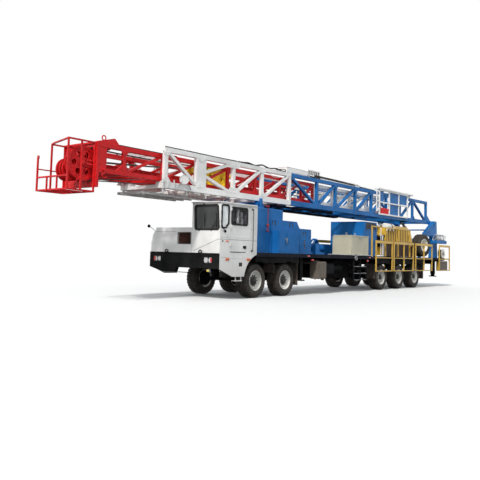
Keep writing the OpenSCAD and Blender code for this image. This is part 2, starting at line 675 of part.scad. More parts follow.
// Panels: front end, rear end, 1 where it has a middle post
PANELS = [[-3170, -4780, 0], [-4930, -7060, 1], [-7300, -9350, 1]];
module fence(x1, x0, mid, z0, z2) {
    slab_y(rail_out - tube, rail_out) difference() {
        rect([x0, z0], [x1, z2]);
        for (c = mid == 1 ? [[x0 + tube, (x0 + x1) / 2 - 25], [(x0 + x1) / 2 + 25, x1 - tube]]
            : [[x0 + tube, x1 - tube]]) {
            rect([c[0], z0 + 40], [c[1], fence_z[1] - 20]);
            rect([c[0], fence_z[1] + 20], [c[1], z2 - 110]);
        }
    }
    for (x = [x0 + 10, x1 - tube - 10]) box([x, body_y, deck_z - 100],
        [x + 30, rail_out - tube + 1, deck_z - 40]);
}
hand_x = [-6850, -2950];
hand_z = 2720;
module railings() color(yellow) {
    both_sides() for (p = PANELS) fence(p[0], p[1], p[2], fence_z[0], fence_z[2]);
    // Tall hand rail along the drawworks
    for (x = [hand_x[0], hand_x[1] - 50]) box([x, body_y - 60, deck_z], [x + 50, body_y - 10, hand_z]);
    box([hand_x[0], body_y - 55, hand_z - 50], [hand_x[1], body_y - 15, hand_z - 10]);
    for (x = [-4300, -5600]) box([x, body_y - 55, deck_z], [x + 40, body_y - 15, hand_z - 15]);
}

panel_x = [-11760, -10310];
module rear_panels() color(yellow) {
    both_sides() fence(panel_x[1], panel_x[0], 0, fence_z[0] - 10, fence_z[2]);
    // Grey control box in the lower half
    both_sides() box([panel_x[0] + 260, rail_out - tube - 180, fence_z[0] - 10],
        [panel_x[1] - 120, rail_out - tube, deck_z - edge_h - 30]);
    // Rear platform behind the deck
    box([panel_x[0], -rail_out, deck_z - 60], [deck_x0 - seat, rail_out, deck_z - 20]);
}

// Wheels and running gear

rim_r = 0.56 * tyre_r;
half_w = tyre_w / 2;
spindle_end = 140;
// Tyre outline from the middle of the tread to the bead, as shares of radius and half width
TYRE = [[1, 0], [1, 0.76], [0.985, 0.86], [0.955, 0.94], [0.87, 0.99], [0.78, 1], [0.68, 0.97], [0.6, 0.9]];
function tyre_side(s) = [for (p = TYRE) [p[0] * tyre_r, s * p[1] * half_w]];
function flipped(list) = [for (i = [len(list) - 1:-1:0]) list[i]];
// Wheel about Z with its outer side up: height of the disc, of the hub cap and of the bore's closed end
module wheel_shape(dish, cap, bore_end) rotate_extrude($fn = 64) polygon(concat(
    [[0, cap], [85, cap], [100, cap - 15], [100, dish + 60], [130, dish + 50], [130, dish + 12],
        [rim_r - 60, dish + 12], [rim_r - 45, dish + 40], [rim_r - 25, half_w * 0.7], [rim_r - 5,
            half_w * 0.86]],
    flipped(tyre_side(1)), [for (i = [1:len(TYRE) - 1]) tyre_side(-1)[i]],
    [[rim_r - 5, -half_w * 0.86], [rim_r - 25, -half_w * 0.7], [rim_r - 60, dish - 12 < -half_w * 0.5 ?
        -half_w * 0.6 : -half_w * 0.4], [rim_r - 60, dish - 12], [130, dish - 12], [130, -120],
        [spindle_r + pin_fit, -120], [spindle_r + pin_fit, bore_end], [0, bore_end]]));
module wheel(n, s) color(black) {
    a = AXLES[n - 1];
    translate([a[0], s * wheel_y, axle_z]) rotate([-s * 90, 0, 0])
        wheel_shape(a[1] == 1 ? 90 : -30, 190, spindle_end + 10);
}
module wheel_1_left() wheel(1, 1);
module wheel_1_right() wheel(1, -1);
module wheel_2_left() wheel(2, 1);
module wheel_2_right() wheel(2, -1);
module wheel_3_left() wheel(3, 1);
module wheel_3_right() wheel(3, -1);
module wheel_4_left() wheel(4, 1);
module wheel_4_right() wheel(4, -1);
module wheel_5_left() wheel(5, 1);
module wheel_5_right() wheel(5, -1);

web_y = wheel_y - 120 - 7;
eye_r = kingpin_r + 22;
fork_h = 110;
module knuckle(n, s) color(black) {
    x = AXLES[n - 1][0];
    mirror([0, s < 0 ? 1 : 0, 0]) {
        rod_y(x, axle_z, spindle_r, web_y - 5, wheel_y + spindle_end);
        rod_y(x, axle_z, 110, web_y - 30, web_y);
        box([x - 60, web_y - 30, axle_z - fork_h], [x + 60, web_y - 5, axle_z + fork_h]);
        translate([x, kingpin_y, axle_z - fork_h]) cylinder(r = kingpin_r, h = 2 * fork_h);
        for (z = [axle_z - fork_h, axle_z + fork_h - 35]) {
            translate([x, kingpin_y, z]) cylinder(r = eye_r, h = 35);
            box([x - eye_r, kingpin_y, z], [x + eye_r, web_y - 5, z + 35]);
        }
    }
}
module knuckle_1_left() knuckle(1, 1);
module knuckle_1_right() knuckle(1, -1);
module knuckle_2_left() knuckle(2, 1);
module knuckle_2_right() knuckle(2, -1);

spring_y = 370;
// Curved leaf spring under a frame rail, its ends on hangers
module leaf_spring(x) {
    r = 2200;
    drop = rail_z0 - 60;
    intersection() {
        slab_y(spring_y - 45, spring_y + 45) translate([x, drop - 170 + r]) difference() {
            circle(r + 45, $fn = 180);
            circle(r - 45, $fn = 180);
        }
        box([x - 620, 0, drop - 400], [x + 620, 600, drop + 60]);
    }
    for (d = [-600, 600]) box([x + d - 30, spring_y - 55, drop - 130], [x + d + 30, spring_y + 55,
        rail_z0]);
    box([x - 70, spring_y - 55, axle_z + 40], [x + 70, spring_y + 55, drop - 150]);
}
module axles() color(black) for (a = AXLES) {
    x = a[0];
    both_sides() leaf_spring(x);
    if (a[1] == 1) {
        // Forged beam with an eye for each kingpin
        box([x - 55, -kingpin_y + eye_r - 8, axle_z - 55], [x + 55, kingpin_y - eye_r + 8, axle_z + 45]);
        both_sides() difference() {
            translate([x, kingpin_y, axle_z - fork_h + 35 + seat]) cylinder(r = eye_r,
                h = 2 * fork_h - 70 - 2 * seat);
            translate([x, kingpin_y, axle_z - fork_h]) cylinder(r = kingpin_r + pin_fit, h = 2 * fork_h);
        }
    } else {
        rod_y(x, axle_z, 75, -web_y, web_y);
        both_sides() {
            rod_y(x, axle_z, spindle_r, web_y - 5, wheel_y + spindle_end);
            rod_y(x, axle_z, 190, web_y - 150, web_y);
        }
        // Differential housing
        translate([x, 0, axle_z]) intersection() {
            sphere(r = 215);
            cube([430, 330, 430], center = true);
        }
        rod_x(0, axle_z + 20, 80, x, x + 300);
    }
}

// Middle of the spare wheel, which is turned a little towards the front
spare_at = [-8770, body_y - 290, 2040];
spare_turn = 8;
module spare_wheel() color(black) translate(spare_at) rotate(-spare_turn) {
    rotate([-90, 0, 0]) wheel_shape(-30, 60, 20);
    // Stand with a peg in the hub
    box([-60, -half_w - 130, deck_z - spare_at[2]], [60, -half_w - 60, 60]);
    rod_y(0, 0, spindle_r, -half_w - 70, 0);
}

tank_x = [750, 1350];
tank_y = [1100, 1440];
tank_z = [560, 1190];
module fuel_tank() color(grey) {
    slab_x(tank_x[0], tank_x[1]) round_rect([tank_y[0], tank_z[0]], [tank_y[1], tank_z[1]], 60);
    // Straps and the brackets that hang the tank on the frame
    for (x = [tank_x[0] + 100, tank_x[1] - 160]) {
        slab_x(x, x + 60) difference() {
            round_rect([tank_y[0] - 8, tank_z[0] - 8], [tank_y[1] + 8, tank_z[1] + 8], 68);
            round_rect([tank_y[0] + 2, tank_z[0] + 2], [tank_y[1] - 2, tank_z[1] - 2], 58);
        }
        box([x, rail_y, rail_z0 + 20], [x + 60, tank_y[0] + 5, rail_z0 + 100]);
    }
    translate([tank_x[1] - 130, tank_y[1] - 130, tank_z[1] - 5]) cylinder(r = 55, h = 40);
}

ladder_x = [-2540, -1380];
module access_ladder() color(black) {
    y = body_y - 20;
    for (x = [ladder_x[0], (ladder_x[0] + ladder_x[1]) / 2, ladder_x[1] - 40])
        box([x, y - 40, 450], [x + 40, y, deck_z - edge_h]);
    for (z = [480, 740, 1010]) box([ladder_x[0], y - 60, z - 15], [ladder_x[1], y - 20, z + 15]);
}

// Mast supports

foot_in = ram_r + pass;
leg_y = [lower_y + 11, lower_y + 201];
module mast_legs() color(blue) {
    both_sides() {
        slab_y(leg_y[0], leg_y[1]) polygon([[hinge_x - 420, deck_z], [hinge_x - 300, hinge_z + 110],
            [hinge_x + 130, hinge_z + 110], [hinge_x + 210, hinge_z - 20], [hinge_x + 1150, hinge_z - 540],
            [hinge_x + 1150, hinge_z - 600], [hinge_x + 240, hinge_z - 700], [hinge_x + 330, deck_z]]);
        rod_y(hinge_x, hinge_z, hinge_r, lower_y - 100, leg_y[0] + 5);
        rod_y(hinge_x, hinge_z, hinge_r + 60, leg_y[1] - 5, leg_y[1] + 25);
    }
    // Box beam on each leg's outer face
    both_sides() box([hinge_x - 980, leg_y[1] - 5, hinge_z - 1030], [hinge_x + 390, body_y - 50,
        hinge_z - 890]);
    box([hinge_x - 330, -leg_y[0] - 5, deck_z + 250], [hinge_x - 130, leg_y[0] + 5, deck_z + 450]);
    box([hinge_x - 320, -leg_y[0] - 5, deck_z + 850], [hinge_x - 160, leg_y[0] + 5, deck_z + 990]);
    // Feet of the raising cylinders, with their pins
    both_sides() {
        for (y = [ram_y - foot_in - 35, ram_y + foot_in]) slab_y(y, y + 35) polygon([[ram_base[0] - 200,
            deck_z],
            [ram_base[0] + 200, deck_z], [ram_base[0] + 80, ram_base[1] + 80], [ram_base[0] - 80,
                ram_base[1] + 80]]);
        rod_y(ram_base[0], ram_base[1], ram_pin_r, ram_y - foot_in - 36, ram_y + foot_in + 36);
    }
}

rest_x = 4235;
module mast_rest() color(blue) {
    both_sides() {
        slab_y(lower_y - 150, lower_y) difference() {
            polygon([[rest_x - 250, tall_z1], [rest_x + 250, tall_z1], [rest_x + 110, lower_z0 - seat],
                [rest_x - 110, lower_z0 - seat]]);
            polygon([[rest_x - 120, tall_z1 + 40], [rest_x + 120, tall_z1 + 40], [rest_x + 55,
                lower_z0 - 70],
                [rest_x - 55, lower_z0 - 70]]);
        }
        // Horn that keeps the mast from moving sideways
        box([rest_x - 60, lower_y + pass, tall_z1], [rest_x + 60, lower_y + 50, lower_z0 + 90]);
        box([rest_x - 60, lower_y - 5, tall_z1], [rest_x + 60, lower_y + pass + 5, tall_z1 + 60]);
    }
    box([rest_x - 60, -lower_y + 145, lower_z0 - 110], [rest_x + 60, lower_y - 145, lower_z0 - 30]);
}

// Mast

top_h = 130;
chord_in = 140;
web_t = 100;
lower_x0 = -10160;
paint_x = 2472;
// Lower mast's posts from the front: place, width, way of the brace behind it (1 rises to the rear,
// -1 falls, 2 is a K, 0 none)
POSTS = [[8660, 130, -1], [7200, 440, 2], [5645, 130, 1], [4122, 130, 1], [paint_x, 130, -1], [591, 120, 1],
    [-816, 120, 1], [-2473, 120, 1], [-3950, 120, 1], [-5430, 120, 1], [-6910, 120, 1], [-8390, 120, -1],
    [-10090, 130, 0]];
mid_z = (lower_z0 + lower_z1) / 2;
lace_y = lower_y - chord_in - seat;
lace_h = 110;
module lower_web(first, last) for (i = [first:last]) {
    p = POSTS[i];
    rect([p[0] - p[1] / 2, lower_z0 + 10], [p[0] + p[1] / 2, lower_z1 - 10]);
    if (i < len(POSTS) - 1 && (i < last || p[2] != 0)) {
        q = POSTS[i + 1];
        hi = lower_z1 - top_h / 2;
        lo = lower_z0 + low_h / 2;
        if (p[2] == 1 && i < last) bar([p[0], lo], [q[0], hi], 90);
        if (p[2] == -1 && i < last) bar([p[0], hi], [q[0], lo], 90);
        if (p[2] == 2 && i < last) {
            bar([p[0], mid_z], [q[0], hi], 90);
            bar([p[0], mid_z], [q[0], lo], 90);
        }
    }
}
// One length of the lower mast between two posts: sides, chords and the lacing underneath
module lower_part(first, last, x0, x1) {
    both_sides() {
        slab_y(lower_y - web_t - 4, lower_y - 4) lower_web(first, last);
        box([x0, lower_y - chord_in + 10, lower_z1 - top_h], [x1, lower_y, lower_z1]);
        box([x0, lower_y - chord_in, lower_z0], [x1, lower_y, lower_z0 + low_h]);
    }
    // Lacing bolted between the lower chords
    for (i = [first:last]) {
        x = POSTS[i][0];
        box([x - 50, -lace_y, lower_z0 + 10], [x + 50, lace_y, lower_z0 + lace_h]);
        s = i % 2 == 0 ? 1 : -1;
        if (i < last) slab_z(lower_z0 + 25, lower_z0 + 95) intersection() {
            bar([x, s * lace_y], [POSTS[i + 1][0], -s * lace_y], 80);
            rect([lower_x0, -lace_y], [lower_x1, lace_y]);
        }
    }
}
module lower_mast_front() color(white) {
    lower_part(0, 4, paint_x - 65, lower_x1);
    // Shoes that carry the upper mast
    both_sides() for (x = [lower_x1 - 260, 4700]) {
        box([x, upper_y - 150, lower_z0 + lace_h + seat], [x + 240, lower_y - chord_in + 5,
            lower_z0 + low_h - 20]);
        box([x + 10, upper_y - 140, lower_z0 + low_h - 25], [x + 230, upper_y - 15, upper_z0 - seat]);
    }
}
module lower_mast_rear() color(blue) {
    lower_part_rear();
    both_sides() {
        difference() {
            union() {
                box([hinge_x, lower_y - 95, lower_z0], [lower_x0 + 5, lower_y - 10, lower_z0 + low_h]);
                rod_y(hinge_x, hinge_z, 135, lower_y - 95, lower_y - 10);
                slab_y(lower_y - 85, lower_y - 25) polygon([[hinge_x, hinge_z + 120], [lower_x0 + 60,
                    lower_z0 + 520],
                    [lower_x0 + 60, lower_z0 + 60], [hinge_x, hinge_z]]);
            }
            rod_y(hinge_x, hinge_z, hinge_r + pin_fit, lower_y - 120, lower_y + 1);
        }
        // Ears for the raising cylinders' rod eyes
        for (y = [ram_y - 100, ram_y + 65]) slab_y(y, y + 35) polygon([[ram_eye[0] - 160, lower_z0 + 60],
            [ram_eye[0] + 160, lower_z0 + 60], [ram_eye[0] + 70, ram_eye[1] - 70], [ram_eye[0] - 70,
                ram_eye[1] - 70]]);
    }
    box([ram_eye[0] - 160, -lace_y, lower_z0 + 20], [ram_eye[0] + 160, lace_y, lower_z0 + 100]);
}
module lower_part_rear() difference() {
    lower_part(4, len(POSTS) - 1, lower_x0, paint_x - 65 - seat);
    box([paint_x - 65 - seat, -lower_y - 1, lower_z0 - 1], [paint_x + 200, lower_y + 1, lower_z1 + 1]);
}

module mast_covers() color(white) {
    // Rounded cover box and louvred box on the near chord
    slab_x(1300, 2660) round_rect([lower_y - 420, lower_z1], [lower_y - 20, lower_z1 + 190], 40);
    difference() {
        box([370, lower_y - 380, lower_z1 + 60], [1240, lower_y - 40, lower_z1 + 290]);
        for (i = [0:5]) box([430 + i * 135, lower_y - 60, lower_z1 + 100], [520 + i * 135, lower_y - 39,
            lower_z1 + 250]);
    }
    for (x = [480, 1080]) box([x, lower_y - 110, lower_z1], [x + 60, lower_y - 60, lower_z1 + 61]);
    // Hose tray along the top chord
    box([-2800, lower_y - 120, lower_z1], [368, lower_y - 20, lower_z1 + 50]);
}

wall_x = [-7650, -4560];
wall_z = [lower_z0 + 130, lower_z1 + 110];
wall_bar = 60;
module wind_wall() color(white) {
    pane = [(wall_x[1] - wall_x[0] - wall_bar) / 3, (wall_z[1] - wall_z[0] - wall_bar) / 2];
    slab_y(lower_y, lower_y + wall_bar) difference() {
        rect([wall_x[0], wall_z[0]], [wall_x[1], wall_z[1]]);
        for (i = [0:2], j = [0:1]) translate([wall_x[0] + i * pane[0], wall_z[0] + j * pane[1]])
            rect([wall_bar, wall_bar], pane);
    }
    // Roof strip
    box([wall_x[0] - 530, lower_y - 180, wall_z[1]], [wall_x[1] + 100, lower_y + 90, wall_z[1] + 60]);
    for (x = [wall_x[0] - 480, wall_x[1] + 40]) box([x, lower_y - 120, lower_z1], [x + 40, lower_y - 60,
        wall_z[1] + 1]);
}

board_x = [6810, 9180];
board_y = 520;
board_z = lower_z0 - 145;
module finger_board() color(grey) {
    for (y = [-board_y, -190, 150, board_y - 40])
        box([board_x[0], y, board_z - 35], [board_x[1], y + 40, board_z + 5]);
    n = 13;
    for (i = [0:n - 1]) translate([board_x[0] + i * (board_x[1] - board_x[0] - 40) / (n - 1), -board_y,
        board_z])
        cube([40, 2 * board_y, 40]);
    // Hangers and bearers under the mast's lower chords
    for (x = [board_x[0] + 60, 7700, lower_x1 - 80]) {
        box([x, -850, board_z], [x + 60, 850, board_z + 40]);
        for (y = [-850, 810]) box([x, y, board_z + 35], [x + 60, y + 40, lower_z0]);
    }
}

upper_chord = 120;
upper_x1 = crown_x;
band_x = 520;
bay = 1440;
// Posts of the upper mast's two lengths, from the front
function posts_from(x1, first, x0) = concat([x1 - 50], [for (x = [first:-bay:x0 + 400]) x], [x0 + 50]);
FRONT_POSTS = posts_from(upper_x1, 10000, band_x);
REAR_POSTS = posts_from(band_x - seat, band_x - bay, upper_x0);
module upper_web(list, plain) for (i = [0:len(list) - 1]) {
    rect([list[i] - 50, upper_z0 + 10], [list[i] + 50, upper_z1 - 10]);
    if (i >= plain && i < len(list) - 1) bar([list[i], upper_z0 + 60], [list[i + 1], upper_z1 - 60], 70);
}
// One length of the upper mast: the first bays may have no brace and no cross-member underneath
module upper_part(x0, x1, list, plain) {
    both_sides() {
        slab_y(upper_y - 85, upper_y - 5) {
            upper_web(list, plain);
            children();
        }
        box([x0, upper_y - upper_chord, upper_z1 - upper_chord], [x1, upper_y, upper_z1]);
        box([x0, upper_y - upper_chord, upper_z0], [x1, upper_y, upper_z0 + upper_chord]);
    }
    // Lacing bolted between the lower chords
    y = upper_y - upper_chord - seat;
    for (i = [plain:len(list) - 1]) {
        box([list[i] - 45, -y, upper_z0 + 10], [list[i] + 45, y, upper_z0 + 90]);
        s = i % 2 == 0 ? 1 : -1;
        if (i < len(list) - 1) slab_z(upper_z0 + 20, upper_z0 + 80) intersection() {
            bar([list[i], s * y], [list[i + 1], -s * y], 60);
            rect([x0, -y], [x1, y]);
        }
    }
}
module upper_mast_front() color(red) upper_part(band_x, upper_x1, FRONT_POSTS, 1) {
    // Plate, mid bar and gussets of the bay behind the crown
    rect([upper_x1 - 240, upper_z0 + 30], [upper_x1, upper_z1 - 10]);
    bar([FRONT_POSTS[1], upper_z0 + 430], [upper_x1 - 230, upper_z0 + 430], 60);
    polygon([[FRONT_POSTS[1] + 40, upper_z0 + 60], [FRONT_POSTS[1] + 300, upper_z0 + 60],
        [FRONT_POSTS[1] + 40, upper_z0 + 300]]);
}
module upper_mast_rear() color(white) {
    upper_part(upper_x0, band_x - seat, REAR_POSTS, 0);
    // Shoes that run on the lower mast's lower chords
    both_sides() box([upper_x0 + 40, upper_y - 5, lower_z0 + low_h + seat],
        [upper_x0 + 300, lower_y - web_t - 4 - pass, upper_z0 + 100]);
}

block_x = [4800, 6270];
module travelling_block() color(yellow) {
    z = (upper_z0 + upper_z1) / 2 + 60;
    both_sides() slab_y(150, 185) difference() {
        polygon([[block_x[0] + 250, z - 200], [block_x[0] + 420, z - 300], [block_x[1] - 250, z - 300],
            [block_x[1], z - 120], [block_x[1], z + 120], [block_x[1] - 250, z + 300],
            [block_x[0] + 420, z + 300], [block_x[0] + 250, z + 200]]);
        for (x = [block_x[0] + 620, block_x[1] - 300]) translate([x, z]) circle(90);
    }
    for (y = [-110, -35, 40]) rod_y(block_x[1] - 480, z, 330, y, y + 60);
    rod_y(block_x[1] - 480, z, 60, -186, 186);
    // Hook
    rod_x(0, z, 110, block_x[0] + 260, block_x[0] + 700);
    slab_y(-50, 50) translate([block_x[0] + 130, z]) difference() {
        circle(190);
        circle(105);
        rect([-200, -30], [-60, 200]);
    }
    rod_y(block_x[0] + 330, z, 50, -186, 186);
    // Cradle that lays the block on the upper mast's lower chords
    for (x = [block_x[0] + 500, block_x[1] - 300]) {
        for (y = [-290, 160]) box([x, y, upper_z0 + upper_chord + 50], [x + 80, y + 130, z - 150]);
        box([x, -upper_y + 90, upper_z0 + upper_chord], [x + 80, upper_y - 90,
            upper_z0 + upper_chord + 60]);
    }
}

crown_t = 80;
// Shafts of the large and of the small sheaves, and the sheaves' places across
sheave_at = [crown_x + crown_t + 284, upper_z0 + 200];
fast_at = [sheave_at[0] + 136, sheave_at[1] - 160];
fast_r = 290;
SHEAVE_Y = [480, 390];
FAST_Y = [250, 130, 10];
module sheave(at, r, y) rotate([-90, 0, 0]) translate([at[0], -at[1], y]) rotate_extrude() polygon([[40,
    -25],
    [r * 0.3, -25], [r * 0.3, -12], [r - 70, -12], [r - 60, -30], [r, -30], [r - 30, -8], [r - 30, 8], [r,
        30],
    [r - 60, 30], [r - 70, 12], [r * 0.3, 12], [r * 0.3, 25], [40, 25]]);
module crown_block() color(red) {
    difference() {
        box([crown_x + seat, -upper_y, lower_z0 - 180], [crown_x + crown_t, upper_y, upper_z1]);
        for (y = SHEAVE_Y) slab_x(crown_x - 1, crown_x + crown_t + 1)
            rect([y - 42, sheave_at[1] - sheave_r], [y + 42, sheave_at[1] + sheave_r]);
        slab_x(crown_x - 1, crown_x + crown_t + 1) round_rect([20, sheave_at[1] + 90], [160,
            sheave_at[1] + 430], 40);
    }
    // Bearing plates between the sheaves, and an arm at the outer end of the large sheaves' shaft
    for (y = [-70, 300]) slab_y(y, y + 40) translate([crown_x + crown_t, sheave_at[1]])
        polygon([[-5, -400], [-5, 300], [300, 130], [500, -60], [500, -230], [350, -300]]);
    slab_y(515, 555) translate([crown_x + crown_t, sheave_at[1]])
        polygon([[-5, -110], [-5, 90], [284, 80], [350, 0], [284, -80]]);
    rod_y(sheave_at[0], sheave_at[1], 60, 301, 570);
    rod_y(fast_at[0], fast_at[1], 45, -85, 339);
    for (y = SHEAVE_Y) difference() {
        sheave(sheave_at, sheave_r, y);
        // Lightening holes
        for (a = [0:60:300]) rod_y(sheave_at[0] + 245 * cos(a), sheave_at[1] + 245 * sin(a), 75, y - 13,
            y + 13);
    }
    for (y = FAST_Y) sheave(fast_at, fast_r, y);
    // Housing on top of the mast, which rises behind the crown plate
    slab_y(-300, 300) translate([crown_x, upper_z1]) polygon(concat(horn, [[crown_t, -90], [-670, -90], [-670, 0]]));
    for (y = [-upper_y + 20, upper_y - 80]) slab_y(y, y + 60) translate([crown_x, upper_z1])
        polygon(concat(horn, [[crown_t, -5], [2, -5], [2, seat], [-670, seat]]));
    box([crown_x - 560, -upper_y + upper_chord, upper_z1 - 90],
        [crown_x - 450, upper_y - upper_chord, upper_z1 - 20]);
    // Lifting ring on the near side of the housing
    translate([crown_x - 160, upper_y - 50, upper_z1 + 130]) rotate([90, 0, 0]) rotate_extrude()
        translate([60, 0]) circle(16, $fn = 16);
}
// Slope of the housing on the crown, from its rear end
horn = [[-510, 160], [-480, 160], [crown_t, 12]];

cage_x = [crown_x + crown_t, 11760];
cage_y = 650;
cage_z = [lower_z0 - 320, upper_z1 - 10];
cage_t = 40;
// Outline of a ring of the cage: its far front corner is cut back at the top
module cage_outline(cut) polygon([[cage_x[0], -cage_y], [cage_x[1] - cut, -cage_y],
    [cage_x[1] - cut * 0.75, -cage_y + cut * 0.6],
    [cage_x[1], cage_y], [cage_x[0], cage_y]]);
module cage_ring(z, cut) slab_z(z, z + cage_t) difference() {
    cage_outline(cut);
    offset(delta = -cage_t) cage_outline(cut);
}
module crown_cage() color(red) {
    cage_ring(cage_z[0], 0);
    cage_ring(cage_z[1] - cage_t, 400);
    for (x = [cage_x[0], cage_x[0] + 400, cage_x[1] - cage_t], y = [-cage_y, cage_y - cage_t])
        box([x, y, cage_z[0]], [x + cage_t, y + cage_t,
            x > cage_x[0] + 500 && y < 0 ? cage_z[0] + 850 : cage_z[1]]);
    // Low front rail
    box([cage_x[1] - cage_t, -cage_y, cage_z[0] + 330], [cage_x[1], cage_y, cage_z[0] + 370]);
    for (y = [-220, 200]) box([cage_x[1] - cage_t, y, cage_z[0]], [cage_x[1], y + 30, cage_z[0] + 350]);
    // Floor bars
    for (y = [-300, 0, 270]) box([cage_x[0], y, cage_z[0]], [cage_x[1] - 10, y + 30, cage_z[0] + 30]);
}

// Raising cylinders: a barrel, a sleeve and a rod on each side

ram_base = [hinge_x + 950, deck_z + 200];
ram_eye = [hinge_x + 2750, hinge_z - 120];
ram_pin_r = 45;
ram_ang = atan2(ram_eye[1] - ram_base[1], ram_eye[0] - ram_base[0]);
ram_len = norm(ram_eye - ram_base);
sleeve_r = ram_r - 20;
rod_r = sleeve_r - 18;
// Frame along the cylinder, X from the base pin to the eye
module along_ram() both_sides() translate([ram_base[0], ram_y, ram_base[1]]) rotate([0, -ram_ang,
    0]) children();
module hollow_x(r, bore, x0, x1, floor) rotate([0, 90, 0]) difference() {
    translate([0, 0, x0]) cylinder(r = r, h = x1 - x0);
    translate([0, 0, x0 + floor]) cylinder(r = bore, h = x1 - x0);
}
module ram_barrels() color(steel) along_ram() {
    difference() {
        union() {
            hollow_x(ram_r, sleeve_r + pass, 100, ram_len - 320, 60);
            rotate([90, 0, 0]) translate([0, 0, -ram_r]) cylinder(r = 85, h = 2 * ram_r);
            box([0, -50, -70], [120, 50, 70]);
        }
        rotate([90, 0, 0]) translate([0, 0, -ram_r - 1]) cylinder(r = ram_pin_r + pin_fit,
            h = 2 * ram_r + 2);
    }
    rotate([0, 90, 0]) translate([0, 0, ram_len - 360]) difference() {
        cylinder(r = ram_r, h = 40);
        translate([0, 0, -1]) cylinder(r = sleeve_r + pin_fit, h = 42);
    }
}
module ram_sleeves() color(steel) along_ram() {
    hollow_x(sleeve_r, rod_r + pass, 170, ram_len - 240, 50);
    rotate([0, 90, 0]) translate([0, 0, ram_len - 280]) difference() {
        cylinder(r = sleeve_r, h = 40);
        translate([0, 0, -1]) cylinder(r = rod_r + pin_fit, h = 42);
    }
}
module ram_rods() color(steel) along_ram() {
    rotate([0, 90, 0]) translate([0, 0, 230]) cylinder(r = rod_r, h = ram_len - 230 - 60);
    difference() {
        translate([ram_len, 0, 0]) rotate([90, 0, 0]) translate([0, 0, -55]) cylinder(r = 80, h = 110);
        translate([ram_len, 0, 0]) rotate([90, 0, 0]) translate([0, 0, -60]) cylinder(r = ram_pin_r,
            h = 120);
    }
}

// Levelling jacks: an inner tube with a round foot

module jack(x, s) color(steel) translate([x, s * jack_y, 0]) {
    h = jack_bore / 2 - seat;
    box([-h, -h, 560], [h, h, rail_z1 - 40 - pass]);
    translate([0, 0, 540]) cylinder(r = 90, h = 30);
    translate([0, 0, 500]) cylinder(r = 190, h = 42);
}
module jack_front_left() jack(jack_x[0], 1);
module jack_front_right() jack(jack_x[0], -1);
module jack_rear_left() jack(jack_x[1], 1);
module jack_rear_right() jack(jack_x[1], -1);

chassis_frame();
deck();
mudguards();
front_bumper();
lamps();
cab_shell();
cab_glass();
cab_interior();
cab_door();
cab_door_glass();
front_hood();
hood_grille();
engine_house();
side_cabinet();
cabinet_door_front();
cabinet_door_rear();
tool_locker();
locker_lid();
winch_house();
drawworks();
drawworks_guard();
railings();
rear_panels();
spare_wheel();
fuel_tank();
access_ladder();
axles();
knuckle_1_left();
knuckle_1_right();
knuckle_2_left();
knuckle_2_right();
wheel_1_left();
wheel_1_right();
wheel_2_left();
wheel_2_right();
wheel_3_left();
wheel_3_right();
wheel_4_left();
wheel_4_right();
wheel_5_left();
wheel_5_right();
mast_legs();
mast_rest();
lower_mast_front();
lower_mast_rear();
mast_covers();
wind_wall();
finger_board();
upper_mast_front();
upper_mast_rear();
travelling_block();
crown_block();
crown_cage();
ram_barrels();
ram_sleeves();
ram_rods();
jack_front_left();
jack_front_right();
jack_rear_left();
jack_rear_right();
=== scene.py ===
"""Looks of the truck-mounted workover rig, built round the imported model.

Metres, +X forward, +Y the cab's side, +Z up, with the origin on the ground.
"""
import math
from itertools import product

import bmesh
import bpy
from mathutils import Matrix, Vector


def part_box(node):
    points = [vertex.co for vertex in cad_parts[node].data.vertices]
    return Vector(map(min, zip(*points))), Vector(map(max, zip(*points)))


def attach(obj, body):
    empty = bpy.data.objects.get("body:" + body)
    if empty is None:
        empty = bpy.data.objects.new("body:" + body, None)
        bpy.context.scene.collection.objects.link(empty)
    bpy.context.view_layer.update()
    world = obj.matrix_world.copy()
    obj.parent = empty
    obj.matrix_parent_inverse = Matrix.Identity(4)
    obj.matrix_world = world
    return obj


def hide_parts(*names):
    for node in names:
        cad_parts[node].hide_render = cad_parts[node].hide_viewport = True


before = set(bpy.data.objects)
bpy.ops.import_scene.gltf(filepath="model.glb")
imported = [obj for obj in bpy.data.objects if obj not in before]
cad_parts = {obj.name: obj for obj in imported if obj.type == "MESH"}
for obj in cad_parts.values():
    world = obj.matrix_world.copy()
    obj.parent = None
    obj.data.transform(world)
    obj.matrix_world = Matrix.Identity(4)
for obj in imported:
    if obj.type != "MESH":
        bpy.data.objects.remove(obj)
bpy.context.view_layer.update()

UP = Vector((0, 0, 1))
SHARP_ANGLE, NODE_SHARP_ANGLE = math.radians(35), math.radians(30)


# Forms

AXES = {"X": Vector((1, 0, 0)), "Y": Vector((0, 1, 0)), "Z": Vector((0, 0, 1))}


def turn_to(axis):
    """Rotation that carries +Z to an axis."""
    way = AXES[axis] if isinstance(axis, str) else Vector(axis).normalized()
    return UP.rotation_difference(way).to_matrix().to_4x4()


def about(point, axis, degrees):
    """Rotation about an axis through a point."""
    p = Vector(point)
    return Matrix.Translation(p) @ Matrix.Rotation(math.radians(degrees), 4, axis) @ Matrix.Translation(-p)


def turns(count):
    """Angles that share out a full turn."""
    return [2 * math.pi * k / count for k in range(count)]


def carried(outline, axis, depth):
    """Points of an outline drawn across an axis (in Y-Z, X-Z or X-Y), at a depth along it."""
    k = "XYZ".index(axis)
    return [(*p[:k], depth, *p[k:]) for p in outline]


